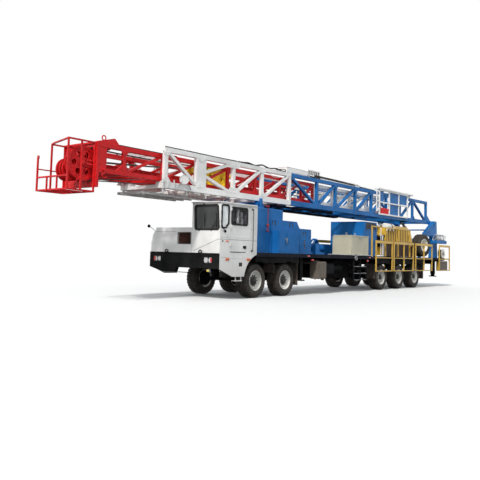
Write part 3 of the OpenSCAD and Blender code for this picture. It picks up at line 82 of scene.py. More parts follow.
class Form:
    """The faces of one piece. Each part added to it is a closed shell."""

    def __init__(self):
        self.points = []
        self.faces = []
        self.place = Matrix.Identity(4)

    def add(self, points, faces):
        first = len(self.points)
        self.points += [self.place @ Vector(p) for p in points]
        self.faces += [[first + i for i in f] for f in faces]

    def block(self, low, high, cut=0.006):
        """Box with cut edges."""
        low, high = Vector(map(min, low, high)), Vector(map(max, low, high))
        middle, half = (low + high) / 2, (high - low) / 2
        cut = min(cut, min(half) * 0.8)
        signs = list(product((-1, 1), repeat=3))
        number = {}
        points = []
        for s in signs:
            for a in range(3):
                number[s, a] = len(points)
                points.append([middle[k] + s[k] * (half[k] - (0 if k == a else cut)) for k in range(3)])
        faces = [[number[s, a] for a in range(3)] for s in signs]
        for a in range(3):
            b, c = (a + 1) % 3, (a + 2) % 3
            for sa in (-1, 1):
                around = []
                for sb, sc in ((-1, -1), (1, -1), (1, 1), (-1, 1)):
                    s = [0, 0, 0]
                    s[a], s[b], s[c] = sa, sb, sc
                    around.append(tuple(s))
                faces.append([number[s, a] for s in around])
                for sb in (-1, 1):
                    ends = []
                    for sc in (-1, 1):
                        s = [0, 0, 0]
                        s[a], s[b], s[c] = sa, sb, sc
                        ends.append(tuple(s))
                    faces.append([number[ends[0], a], number[ends[1], a], number[ends[1], b],
                                  number[ends[0], b]])
        self.add(points, faces)

    def tube(self, points, radius, sides=8, closed=False):
        """Round tube along a line of points."""
        points = [Vector(p) for p in points]
        n = len(points)
        rings = []
        side = None
        for i, p in enumerate(points):
            before = points[(i - 1) % n] if closed or i else p
            after = points[(i + 1) % n] if closed or i < n - 1 else p
            way = (after - before).normalized()
            if side is None:
                side = way.orthogonal().normalized()
            side = (side - way * side.dot(way)).normalized()
            other = way.cross(side)
            rings.append([p + (side * math.cos(t) + other * math.sin(t)) * radius for t in turns(sides)])
        faces = []
        for i in range(n if closed else n - 1):
            j = (i + 1) % n
            for k in range(sides):
                m = (k + 1) % sides
                faces.append([i * sides + k, i * sides + m, j * sides + m, j * sides + k])
        if not closed:
            faces.append(list(range(sides - 1, -1, -1)))
            faces.append([(n - 1) * sides + k for k in range(sides)])
        self.add([p for ring in rings for p in ring], faces)

    def hose(self, points, radius=0.014, steps=5, sides=7):
        """Round tube along a curve through points."""
        self.tube(smooth_line(points, steps), radius, sides)

    def lathe(self, outline, centre, axis, sides=32, closed=False):
        """Outline of (radius, height) turned about an axis through centre."""
        turn = Matrix.Translation(centre) @ turn_to(axis)
        rings = []
        points = []
        for r, h in outline:
            if r < 1e-6:
                rings.append([len(points)] * sides)
                points.append(turn @ Vector((0, 0, h)))
                continue
            rings.append(list(range(len(points), len(points) + sides)))
            points += [turn @ Vector((r * math.cos(t), r * math.sin(t), h)) for t in turns(sides)]
        faces = []
        pairs = list(zip(rings, rings[1:])) + ([(rings[-1], rings[0])] if closed else [])
        for a, b in pairs:
            for k in range(sides):
                m = (k + 1) % sides
                face = list(dict.fromkeys([a[k], a[m], b[m], b[k]]))
                if len(face) > 2:
                    faces.append(face)
        if not closed:
            for ring in (rings[0], rings[-1]):
                if len(set(ring)) > 1:
                    faces.append(list(ring))
        self.add(points, faces)

    def prism(self, outline, axis, a, b):
        """Outline drawn across an axis, carried from a to b."""
        n = len(outline)
        points = carried(outline, axis, a) + carried(outline, axis, b)
        faces = [list(range(n)), list(range(n, 2 * n))]
        faces += [[k, (k + 1) % n, n + (k + 1) % n, n + k] for k in range(n)]
        self.add(points, faces)

    def band(self, outer, inner, axis, a, b):
        """Flat band between two outlines with as many points, carried from a to b."""
        n = len(outer)
        points = [p for depth in (a, b) for line in (outer, inner) for p in carried(line, axis, depth)]
        faces = []
        for k in range(n):
            m = (k + 1) % n
            faces += [[k, m, n + m, n + k], [2 * n + k, 2 * n + m, 3 * n + m, 3 * n + k],
                      [k, m, 2 * n + m, 2 * n + k], [n + k, n + m, 3 * n + m, 3 * n + k]]
        self.add(points, faces)

    def ring(self, inner, outer, low, high, centre, axis, sides=28):
        """Square-edged ring."""
        self.lathe([(inner, low), (outer, low), (outer, high), (inner, high)], centre, axis,
                   sides, closed=True)

    def bolts(self, places, axis, radius=0.012, height=0.01):
        """Hexagon heads."""
        for p in places:
            self.lathe([(0, -0.002), (radius, -0.002), (radius, height * 0.8), (radius * 0.8, height),
                        (0, height)], p, axis, sides=6)

    def make(self, name, body, material):
        """The finished piece, which rides on a body and takes the slot of its material."""
        mesh = bpy.data.meshes.new(name)
        mesh.from_pydata([tuple(p) for p in self.points], [], self.faces)
        mesh.materials.append(material)
        for face in mesh.polygons:
            face.use_smooth = True
        work = bmesh.new()
        work.from_mesh(mesh)
        bmesh.ops.recalc_face_normals(work, faces=work.faces)
        work.to_mesh(mesh)
        work.free()
        mesh.set_sharp_from_angle(angle=SHARP_ANGLE)
        made = show(name, mesh)
        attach(made, body)
        return made


def show(name, data, place=None):
    """Puts an object made from data into the scene."""
    made = bpy.data.objects.new(name, data)
    if place:
        made.matrix_world = place
    bpy.context.scene.collection.objects.link(made)
    return made


def piece(body, material):
    """Makes a piece of what the decorated function draws, under the function's name."""
    def build(draw):
        form = Form()
        draw(form)
        return form.make(draw.__name__, body, material)
    return build


def rect(a0, b0, a1, b1):
    """Corners of a rectangle."""
    return [(a0, b0), (a1, b0), (a1, b1), (a0, b1)]


def rounded(corners, radius, steps=4):
    """Outline with round corners."""
    line = []
    n = len(corners)
    for i in range(n):
        p, before, after = Vector(corners[i]), Vector(corners[i - 1]), Vector(corners[(i + 1) % n])
        a, b = (before - p).normalized(), (after - p).normalized()
        half = a.angle(b) / 2
        reach = radius / math.tan(half)
        centre = p + (a + b).normalized() * (radius / math.sin(half))
        start, end = p + a * reach - centre, p + b * reach - centre
        for k in range(steps + 1):
            way = start.normalized().slerp(end.normalized(), k / steps).normalized()
            line.append(tuple(centre + way * radius))
    return line


def grown(corners, distance):
    """Convex outline moved outwards."""
    n = len(corners)
    middle = sum((Vector(c) for c in corners), Vector((0, 0))) / n
    lines = []
    for i in range(n):
        p, q = Vector(corners[i]), Vector(corners[(i + 1) % n])
        way = (q - p).normalized()
        out = Vector((way.y, -way.x))
        if out.dot(p - middle) < 0:
            out = -out
        lines.append((p + out * distance, way))
    result = []
    for i in range(n):
        (p, u), (q, v) = lines[i - 1], lines[i]
        t = ((q - p).x * v.y - (q - p).y * v.x) / (u.x * v.y - u.y * v.x)
        result.append(tuple(p + u * t))
    return result


def smooth_line(points, steps=6):
    """Curve through points."""
    points = [Vector(p) for p in points]
    line = []
    for p0, p1, p2, p3 in zip(points[:1] + points, points, points[1:], points[2:] + points[-1:]):
        for k in range(steps):
            t = k / steps
            bend = 2 * p0 - 5 * p1 + 4 * p2 - p3
            line.append(0.5 * (2 * p1 + (p2 - p0) * t + bend * t * t + (3 * p1 - p0 - 3 * p2 + p3) * t ** 3))
    return line + points[-1:]


# Materials

class Tree:
    """A node tree, with short names for the nodes that are used often."""

    def __init__(self, tree, space):
        self.tree = tree
        self.where = self.new("ShaderNodeTexCoord").outputs[space]

    def new(self, kind, **values):
        node = self.tree.nodes.new(kind)
        for key, value in values.items():
            setattr(node, key, value)
        return node

    def link(self, a, b):
        self.tree.links.new(a, b)

    def spread(self, value, low, high, to_low=0.0, to_high=1.0):
        node = self.new("ShaderNodeMapRange")
        for key, number in (("From Min", low), ("From Max", high), ("To Min", to_low), ("To Max", to_high)):
            node.inputs[key].default_value = number
        self.link(value, node.inputs["Value"])
        return node.outputs["Result"]

    def math(self, operation, a, b):
        node = self.new("ShaderNodeMath", operation=operation)
        for socket, value in zip(node.inputs, (a, b)):
            if isinstance(value, (int, float)):
                socket.default_value = value
            else:
                self.link(value, socket)
        return node.outputs[0]

    def axis(self, name):
        node = self.new("ShaderNodeSeparateXYZ")
        self.link(self.where, node.inputs[0])
        return node.outputs[name]


class Nodes(Tree):
    """The node tree of a new material."""

    def __init__(self, name, roughness=0.5, metallic=0.0, **sockets):
        self.material = bpy.data.materials.new(name)
        self.material.use_nodes = True
        super().__init__(self.material.node_tree, "Object")
        self.shader = self.tree.nodes["Principled BSDF"]
        for key, value in {"Roughness": roughness, "Metallic": metallic, **sockets}.items():
            self.shader.inputs[key.replace("_", " ")].default_value = value

    def noise(self, scale, detail=3, stretch=(1, 1, 1)):
        mapping = self.new("ShaderNodeMapping")
        mapping.inputs["Scale"].default_value = stretch
        self.link(self.where, mapping.inputs["Vector"])
        node = self.new("ShaderNodeTexNoise")
        node.inputs["Scale"].default_value = scale
        node.inputs["Detail"].default_value = detail
        self.link(mapping.outputs["Vector"], node.inputs["Vector"])
        return node.outputs["Fac"]

    def cloud(self, noise, low, high, to_low=0.0, to_high=1.0):
        """Noise of a (scale, detail, stretch), spread between two values."""
        return self.spread(self.noise(*noise), low, high, to_low, to_high)

    def mix(self, share, a, b):
        """Colour between a and b, each a socket or a colour."""
        node = self.new("ShaderNodeMix", data_type="RGBA")
        for socket, value in ((node.inputs[0], share), (node.inputs[6], a), (node.inputs[7], b)):
            if isinstance(value, (int, float)):
                socket.default_value = value
            elif isinstance(value, tuple):
                socket.default_value = (*value, 1)
            else:
                self.link(value, socket)
        return node.outputs[2]

    def inside(self, low, high):
        """1 inside a box, 0 outside it."""
        result = 1.0
        for k, name in enumerate("XYZ"):
            value = self.axis(name)
            above = self.math("GREATER_THAN", value, low[k])
            below = self.math("LESS_THAN", value, high[k])
            result = self.math("MULTIPLY", self.math("MULTIPLY", above, below), result)
        return result

    def edges(self, radius=0.01):
        """Share of wear at convex edges, and the rounded normal."""
        bevel = self.new("ShaderNodeBevel", samples=4)
        bevel.inputs["Radius"].default_value = radius
        flat = self.new("ShaderNodeNewGeometry")
        dot = self.new("ShaderNodeVectorMath", operation="DOT_PRODUCT")
        self.link(bevel.outputs[0], dot.inputs[0])
        self.link(flat.outputs["Normal"], dot.inputs[1])
        return self.spread(dot.outputs["Value"], 0.99, 0.85), bevel.outputs[0]

    def bump(self, height, strength, distance=0.002, normal=None):
        node = self.new("ShaderNodeBump")
        node.inputs["Strength"].default_value = strength
        node.inputs["Distance"].default_value = distance
        self.link(height, node.inputs["Height"])
        if normal is not None:
            self.link(normal, node.inputs["Normal"])
        self.link(node.outputs[0], self.shader.inputs["Normal"])

    def finish(self, colour, roughness=None):
        self.link(colour, self.shader.inputs["Base Color"])
        if roughness is not None:
            self.link(roughness, self.shader.inputs["Roughness"])
        return self.material


DUST = (0.3, 0.25, 0.19)
ROAD_DIRT = (0.17, 0.125, 0.095)
RUST = (0.2, 0.09, 0.04)


def shade(colour, share, lift=0.0):
    """Colour made darker or lighter."""
    return tuple(c * share + lift for c in colour)


def paint(name, colour, roughness=0.38, dust=0.35, grime=0.25, worn=0.35, low=0.3, high=1.9, marks=(),
          coat=0.2, shine=0.4):
    """Paint on sheet metal: a tone that drifts, dust low down, streaks of grime and worn edges."""
    n = Nodes(name, roughness, Coat_Weight=coat, Coat_Roughness=0.25, Specular_IOR_Level=shine)
    deep = shade(colour, 0.8)
    light = tuple(min(1, c) for c in shade(colour, 1.1, 0.01))
    tone = n.mix(n.cloud((0.9, 4), 0.3, 0.7), deep, light)
    tone = n.mix(n.cloud((14, 2), 0.35, 0.75, 0, 0.18), tone, shade(colour, 0.62))
    for mark_low, mark_high, mark_colour in marks:
        tone = n.mix(n.inside(mark_low, mark_high), tone, mark_colour)
    streaks = n.cloud((9, 3, (1, 1, 0.12)), 0.52, 0.8, 0, grime)
    tone = n.mix(streaks, tone, shade(colour, 0.45, 0.02))
    settled = n.math("MULTIPLY", n.spread(n.axis("Z"), high, low, 0, dust),
                     n.cloud((3.2, 4), 0.3, 0.7, 0.45, 1))
    tone = n.mix(settled, tone, DUST)
    edge, normal = n.edges()
    worn_share = n.math("MULTIPLY", edge, n.cloud((24, 3), 0.48, 0.66, 0, worn))
    tone = n.mix(worn_share, tone, shade(colour, 0.5, 0.1))
    rough = n.cloud((6, 3), 0.3, 0.75, roughness * 0.85, min(1, roughness * 1.5))
    n.bump(n.noise(46, 3), 0.18, 0.0016, normal)
    return n.finish(tone, rough)


def metal(name, colour, roughness=0.4, metallic=0.85, rust=0.1):
    """Bare or galvanised metal with a cloudy grain."""
    n = Nodes(name, roughness, metallic)
    tone = n.mix(n.cloud((7, 4), 0.3, 0.7), shade(colour, 0.7), colour)
    tone = n.mix(n.cloud((17, 4), 0.58, 0.74, 0, rust), tone, RUST)
    normal = n.edges(0.006)[1]
    n.bump(n.noise(70, 2), 0.15, 0.001, normal)
    return n.finish(tone, n.cloud((22, 3), 0.3, 0.7, roughness * 0.75, min(1, roughness * 1.35)))


def rubber(name, colour, dusty=0.35, scale=9):
    """Rubber with dust in its hollows."""
    n = Nodes(name, 0.82)
    tone = n.mix(n.cloud((scale, 5), 0.35, 0.72, 0, dusty), colour, ROAD_DIRT)
    tone = n.mix(n.cloud((scale * 6, 2), 0.4, 0.7, 0, 0.25), tone, shade(colour, 0.5))
    n.bump(n.noise(scale * 14, 3), 0.35, 0.0015)
    return n.finish(tone, n.cloud((scale * 2, 3), 0.3, 0.7, 0.68, 0.95))


def lens(name, colour):
    """Lamp lens with vertical ribs."""
    n = Nodes(name, 0.12, Coat_Weight=0.6)
    wave = n.new("ShaderNodeTexWave", bands_direction="Y")
    wave.inputs["Scale"].default_value = 26
    n.link(n.where, wave.inputs["Vector"])
    tone = n.mix(n.spread(wave.outputs["Fac"], 0, 1, 0, 0.3), colour, shade(colour, 0.5))
    n.bump(wave.outputs["Fac"], 0.4, 0.003)
    return n.finish(tone)


def glass(name, colour, clear):
    """Window glass, of which a share is clear."""
    n = Nodes(name, 0.06, Alpha=1 - clear, Specular_IOR_Level=0.3)
    tone = n.mix(n.cloud((2.2, 4), 0.35, 0.7), colour, shade(colour, 1.9))
    return n.finish(tone, n.cloud((5, 3), 0.3, 0.8, 0.03, 0.14))


def woven(name, colour, mesh):
    """Wire mesh or cloth: crossed waves as bump and colour."""
    n = Nodes(name, 0.75)
    waves = []
    for way in ("Y", "Z"):
        wave = n.new("ShaderNodeTexWave", bands_direction=way)
        wave.inputs["Scale"].default_value = mesh
        n.link(n.where, wave.inputs["Vector"])
        waves.append(wave.outputs["Fac"])
    cross = n.math("MAXIMUM", *waves)
    tone = n.mix(n.spread(cross, 0.5, 1), shade(colour, 0.25), colour)
    tone = n.mix(n.cloud((9, 3), 0.35, 0.7, 0, 0.5), tone, shade(colour, 0.5))
    n.bump(cross, 0.6, 0.004)
    return n.finish(tone)


WHITE_RGB = (0.88, 0.87, 0.85)
RED_RGB = (0.68, 0.008, 0.011)
BLUE_RGB = (0.006, 0.145, 0.44)
YELLOW_RGB = (0.68, 0.405, 0.035)
BLACK_RGB = (0.006, 0.006, 0.0065)

# The first mark blacks the grab rail; the second is painted shade inside the toe hole below the door
WHITE = paint("white_paint", WHITE_RGB, dust=0.25, grime=0.1, worn=0.2,
              marks=(((5.33, 1.455, 1.46), (5.37, 1.53, 2.82), BLACK_RGB),
                     ((5.8, 1.4, 1.0), (5.98, 1.449, 1.14), BLACK_RGB)))
MAST_WHITE = paint("mast_white", WHITE_RGB, dust=0.0, grime=0.22, worn=0.3)
RED = paint("red_paint", RED_RGB, dust=0.0, grime=0.18, coat=0.05, shine=0.15)
BLUE = paint("blue_paint", BLUE_RGB, dust=0.04, grime=0.22, coat=0.0, shine=0.12)
YELLOW = paint("yellow_paint", YELLOW_RGB, dust=0.3, grime=0.3)
# The block's yellow is made brighter than the guard's as painted light, since the block lies in shade
BRIGHTENED_BLOCK_YELLOW = paint("block_yellow_painted_light", (0.98, 0.66, 0.03), dust=0.0, grime=0.25, coat=0.0, shine=0.15)
BEIGE = paint("beige_paint", (0.54, 0.51, 0.38), dust=0.2, grime=0.12, coat=0.0)
BLACK = paint("black_paint", BLACK_RGB, roughness=0.6, dust=0.0, grime=0.1, high=1.3, coat=0.0, shine=0.06)
DECK = paint("deck_paint", (0.006, 0.009, 0.018), roughness=0.7, dust=0.08, coat=0.0, shine=0.08)
GREY = paint("grey_paint", (0.115, 0.093, 0.075), roughness=0.6, dust=0.4, coat=0.0)
DARK_RED = paint("dark_red", (0.3, 0.008, 0.018), dust=0.1, grime=0.4, coat=0.0)
WOOD = paint("weathered_timber", (0.45, 0.36, 0.27), roughness=0.8, dust=0.3, coat=0.0)
SEAM = paint("seam_shadow", (0.1, 0.1, 0.1), roughness=0.8, dust=0.1, coat=0.0)
RIM_WHITE = paint("rim_white", (0.9, 0.88, 0.83), dust=0.2, grime=0.2, high=1.1)
HUB_BLACK = paint("hub_black", (0.018, 0.016, 0.015), roughness=0.5, dust=0.15, high=1.0)
TYRE = rubber("tyre_rubber", (0.03, 0.026, 0.023))
SEAT_COVER = woven("seat_cover", (0.95, 0.95, 0.93), 90)
FLAP = rubber("flap_rubber", (0.045, 0.036, 0.032), dusty=0.6, scale=7)
GASKET = rubber("gasket_rubber", (0.01, 0.01, 0.011), dusty=0.1)
HOSE = rubber("hose_rubber", (0.016, 0.016, 0.018), dusty=0.2, scale=6)
STEEL = metal("bare_steel", (0.42, 0.42, 0.43))
ROPE = metal("wire_rope", (0.19, 0.185, 0.18), roughness=0.6, metallic=0.5, rust=0.3)
ZINC = metal("zinc_sheet", (0.62, 0.63, 0.64), roughness=0.45, metallic=0.55, rust=0.03)
MACHINE = metal("oily_machine", (0.085, 0.062, 0.05), roughness=0.5, metallic=0.4, rust=0.5)
PIPE = metal("pipe_grey", (0.74, 0.74, 0.73), roughness=0.55, metallic=0.05, rust=0.05)
GLASS = glass("window_glass", (0.034, 0.036, 0.033), 0.12)
CLEAR_GLASS = glass("clear_glass", (0.016, 0.016, 0.02), 0.86)
# Glass of the quarter, rear and inner windows: its pale colour is a painted reflection of the pale sky
REFLECTION_GLASS = glass("glass_painted_sky_reflection", (0.84, 0.86, 0.86), 0.55)
CLEAR = lens("lamp_clear", (0.66, 0.66, 0.65))
ORANGE = lens("lamp_orange", (0.8, 0.16, 0.03))
LAMP_RED = lens("lamp_red", (0.6, 0.02, 0.02))
FOG = lens("lamp_yellow", (0.85, 0.65, 0.08))
GRILLE = woven("grille_mesh", (0.16, 0.055, 0.028), 60)
CLOTH = woven("seat_cloth", (0.045, 0.045, 0.05), 90)
VENT = woven("vent_mesh", (0.1, 0.095, 0.09), 40)
# Dark mesh that stands as painted shade inside the drum guard and behind the rails
SHADE_MESH = woven("mesh_painted_shade", (0.055, 0.028, 0.018), 45)

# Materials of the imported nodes; the wheels take TYRE and the rest BLACK
NODE_LOOKS = (
    (WHITE, "cab_shell cab_door front_hood"),
    (MAST_WHITE, "lower_mast_front mast_covers wind_wall upper_mast_rear"),
    (BLUE, "engine_house side_cabinet cabinet_door_front cabinet_door_rear winch_house"),
    (BLUE, "mast_legs mast_rest lower_mast_rear ram_barrels"),
    (RED, "upper_mast_front crown_block crown_cage"),
    (YELLOW, "drawworks_guard railings rear_panels"),
    (BRIGHTENED_BLOCK_YELLOW, "travelling_block"),
    (BEIGE, "tool_locker locker_lid"),
    (DECK, "deck"),
    (GREY, "fuel_tank"),
    (STEEL, "ram_sleeves ram_rods"),
    (PIPE, "finger_board"),
    (MACHINE, "drawworks"),
    (CLEAR, "lamps"),
    (GLASS, "cab_glass cab_door_glass"),
    (CLOTH, "cab_interior"),
    (GRILLE, "hood_grille"),
    (TYRE, "spare_wheel"))
LOOK_OF = {name: material for material, names in NODE_LOOKS for name in names.split()}
for node_name, node_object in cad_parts.items():
    fallback = TYRE if node_name.startswith("wheel") else BLACK
    node_object.data.materials.clear()
    node_object.data.materials.append(LOOK_OF.get(node_name, fallback))
    node_object.data.shade_flat()
    node_object.data.set_sharp_from_angle(angle=NODE_SHARP_ANGLE)
    for polygon in node_object.data.polygons:
        polygon.use_smooth = True


# Wheels

WHEEL_Y, WHEEL_Z = 1.062, 0.55
# Outline from the middle of the tread to the bead, as radius and distance from the middle plane
CARCASS = [(0.531, 0.0), (0.531, 0.1), (0.529, 0.155), (0.521, 0.187), (0.505, 0.202), (0.475, 0.211),
           (0.445, 0.2145), (0.442, 0.2115), (0.436, 0.2145), (0.4, 0.212), (0.365, 0.204), (0.352, 0.198),
           (0.347, 0.201), (0.335, 0.198), (0.322, 0.188), (0.306, 0.18)]
LUGS = 30
LUG_LINE = [(0.012, 0.0), (0.06, 0.028), (0.12, 0.04), (0.165, 0.05), (0.195, 0.058)]
LUG_TOP = [0.55, 0.55, 0.5495, 0.545, 0.53]
LUG_FOOT = [0.526, 0.526, 0.526, 0.516, 0.5]


def tyre(form, centre):
    """Off-road tyre: a turned carcass, and lugs that run from the middle over the shoulder."""
    outline = CARCASS[:0:-1] + [(r, -h) for r, h in CARCASS]
    form.lathe(outline, centre, "Y", sides=72, closed=True)
    middle = Vector(centre)
    for i in range(LUGS):
        for way in (-1, 1):
            turn = 2 * math.pi * (i + (0.5 if way > 0 else 0)) / LUGS
            half_angle = math.pi / LUGS * 0.52
            points = []
            for (w, slant), top, foot in zip(LUG_LINE, LUG_TOP, LUG_FOOT):
                for r, share in ((foot, 1.1), (top, 0.86)):
                    for s in (-1, 1):
                        a = turn + slant * 1.6 + s * half_angle * share
                        points.append(middle + Vector((r * math.cos(a), way * w, r * math.sin(a))))
            faces = []
            for k in range(len(LUG_LINE) - 1):
                a, b = 4 * k, 4 * k + 4
                faces += [[a, a + 2, b + 2, b], [a + 2, a + 3, b + 3, b + 2], [a + 3, a + 1, b + 1, b + 3],
                          [a + 1, a, b, b + 1]]
            e = 4 * (len(LUG_LINE) - 1)
            faces += [[0, 1, 3, 2], [e, e + 1, e + 3, e + 2]]
            form.add(points, faces)


def turned(form, outline, centre, side, sides, closed=True):
    """Part of a wheel turned about its axle, with heights measured outwards."""
    form.lathe([(r, side * h) for r, h in outline], centre, "Y", sides, closed)


def rim(form, centre, side, dish):
    """Rim with its gutter, inner well, lock ring and dished disc."""
    outline = [(0.1, dish - 0.01), (0.205, dish - 0.01), (0.238, dish + 0.02), (0.258, dish + 0.055),
               (0.272, 0.128), (0.296, 0.165), (0.318, 0.18), (0.324, 0.192), (0.318, 0.199), (0.306, 0.197),
               (0.298, 0.185), (0.28, 0.15), (0.262, 0.132), (0.246, dish + 0.06), (0.226, dish + 0.034),
               (0.198, dish + 0.012), (0.1, dish + 0.012)]
    well = [(0.262, 0.13), (0.262, -0.13), (0.306, -0.18), (0.316, -0.19), (0.31, -0.195), (0.296, -0.186),
            (0.248, -0.125), (0.248, 0.05)]
    lock = [(0.287, 0.186), (0.3, 0.196), (0.309, 0.203), (0.312, 0.198), (0.302, 0.187)]
    for line in (outline, well, lock):
        turned(form, line, centre, side, 64)


def hub(form, centre, side, dish, reach):
    """Hub with a stepped cap, wheel nuts and the cap's small bolts."""
    base = dish + 0.012
    outline = [(0, -0.11), (0.125, -0.11), (0.135, dish - 0.01), (0.158, base), (0.158, base + 0.018),
               (0.135, base + 0.028), (0.118, base + 0.032), (0.108, reach - 0.045), (0.098, reach - 0.028),
               (0.082, reach - 0.022), (0.08, reach - 0.006), (0.066, reach), (0, reach)]
    turned(form, outline, centre, side, 40, closed=False)
    for count, r, h, size, head in ((10, 0.176, base, 0.017, 0.034), (12, 0.1, reach - 0.036, 0.008, 0.01)):
        places = [Vector(centre) + Vector((r * math.cos(t), side * h, r * math.sin(t)))
                  for t in turns(count)]
        form.bolts(places, (0, side, 0), size, head)


# Brake drum and its dust plate, which fill the inner side of the rim
DRUM = [(0.13, -0.03), (0.232, -0.03), (0.238, -0.06), (0.238, -0.17), (0.243, -0.175),
        (0.243, -0.19), (0.13, -0.19)]
STEERED_DISH, DRIVEN_DISH = 0.09, -0.03
for node_name in sorted(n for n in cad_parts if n.startswith("wheel_")):
    _, number, hand = node_name.split("_")
    low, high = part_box(node_name)
    side = 1 if hand == "left" else -1
    centre = Vector(((low.x + high.x) / 2, side * WHEEL_Y, WHEEL_Z))
    dish = STEERED_DISH if number in "12" else DRIVEN_DISH
    reach = max(high.y, -low.y) - abs(centre.y) - 0.026
    draws = {
        ("tyre", TYRE): lambda form: tyre(form, centre),
        ("rim", RIM_WHITE): lambda form: rim(form, centre, side, dish),
        ("hub", HUB_BLACK): lambda form: hub(form, centre, side, dish, reach),
        ("brake", BLACK): lambda form: turned(form, DRUM, centre, side, 48)}
    for (part, material), draw in draws.items():
        form = Form()
        draw(form)
        made = form.make(f"{part}_{number}_{hand}", node_name + "_body", material)
        if part == "tyre":
            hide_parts(node_name)

# Spare wheel on its stand, turned a little towards the front
SPARE_AT = Vector((-8.77, 1.16, 2.04))
SPARE_TURN = about(SPARE_AT, "Z", -8)


@piece("carrier", TYRE)
def spare_tyre(form):
    form.place = SPARE_TURN
    tyre(form, SPARE_AT)
    form.block((SPARE_AT.x - 0.06, 0.815, 1.45), (SPARE_AT.x + 0.06, 0.885, 2.1))
    form.tube([(SPARE_AT.x, 0.875, 2.04), (SPARE_AT.x, 1.16, 2.04)], 0.04, 16)


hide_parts("spare_wheel")


@piece("carrier", RIM_WHITE)
def spare_rim(form):
    form.place = SPARE_TURN
    rim(form, SPARE_AT, 1, DRIVEN_DISH)


# Cab and hood

FRONT_X, SIDE_Y = 6.89, 1.45
BELT_Y = SIDE_Y + 0.0015


def gasket(form, corners, axis, a, b, out=0.032, into=0.022, radius=0.055):
    """Rubber frame of a window with round corners."""
    form.band(rounded(grown(corners, out), radius + out), rounded(grown(corners, -into), radius), axis, a, b)


WINDSHIELD = [(0.46, 2.11), (1.4, 2.11), (1.34, 2.82), (0.43, 2.82)]
QUARTER = [(6.64, 2.165), (6.825, 2.165), (6.825, 2.83), (6.51, 2.83), (6.51, 2.3)]
DOOR_WINDOW = rect(5.605, 2.285, 6.365, 2.79)
REAR_WINDOW = rect(0.52, 2.3, 1.2, 2.78)
INNER_WINDOW = rect(5.56, 2.29, 6.76, 2.81)


@piece("carrier", GASKET)
def window_gaskets(form):
    gasket(form, WINDSHIELD, "X", FRONT_X - 0.02, FRONT_X + 0.012, 0.036, 0.026, 0.06)
    gasket(form, QUARTER, "Y", SIDE_Y - 0.02, SIDE_Y + 0.012, 0.03, 0.02, 0.045)
    gasket(form, REAR_WINDOW, "X", 5.068, 5.1)
    gasket(form, INNER_WINDOW, "Y", 0.3185, 0.34)


@piece("door", GASKET)
def door_gasket(form):
    gasket(form, DOOR_WINDOW, "Y", SIDE_Y - 0.02, SIDE_Y + 0.012, 0.032, 0.022, 0.05)
    # Black sill under the door
    form.block((5.665, SIDE_Y - 0.002, 1.4415), (6.415, SIDE_Y + 0.01, 1.457))


@piece("carrier", GLASS)
def windshield(form):
    form.prism(WINDSHIELD, "X", FRONT_X - 0.024, FRONT_X - 0.016)


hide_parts("cab_glass")


@piece("carrier", REFLECTION_GLASS)
def side_glass(form):
    # Pale glass that carries a painted reflection of the sky
    form.prism(QUARTER, "Y", SIDE_Y - 0.024, SIDE_Y - 0.016)
    form.prism(REAR_WINDOW, "X", 5.096, 5.104)
    form.prism(INNER_WINDOW, "Y", 0.336, 0.344)


@piece("door", CLEAR_GLASS)
def door_window(form):
    form.prism(DOOR_WINDOW, "Y", SIDE_Y - 0.024, SIDE_Y - 0.016)


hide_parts("cab_door_glass")


@piece("carrier", SEAT_COVER)
def seat_cover(form):
    # Pale seat cover with its headrest, and the gathered curtain of the door
    form.block((5.62, 1.16, 2.1), (5.72, 1.34, 2.5), 0.05)
    form.block((5.62, 1.17, 2.52), (5.7, 1.31, 2.7), 0.035)
    form.hose([(6.0, 1.385, 2.78), (5.985, 1.385, 2.7), (6.02, 1.385, 2.6), (5.99, 1.385, 2.5),
               (6.015, 1.385, 2.4), (6.0, 1.385, 2.33)], 0.035, 6, 10)


def wiper(form, y0, z0, y1, z1):
    """Wiper from its pivot to the middle of its blade."""
    x = FRONT_X + 0.016
    form.lathe([(0, -0.02), (0.016, -0.02), (0.016, 0.008), (0, 0.012)], (x, y0, z0), "X", 12)
    form.tube([(x, y0, z0), (x + 0.006, (y0 + y1) / 2, (z0 + z1) / 2), (x, y1, z1)], 0.006, 6)
    form.block((x - 0.008, y1 - 0.012, z1 - 0.22), (x + 0.003, y1 + 0.006, z1 + 0.2), 0.002)


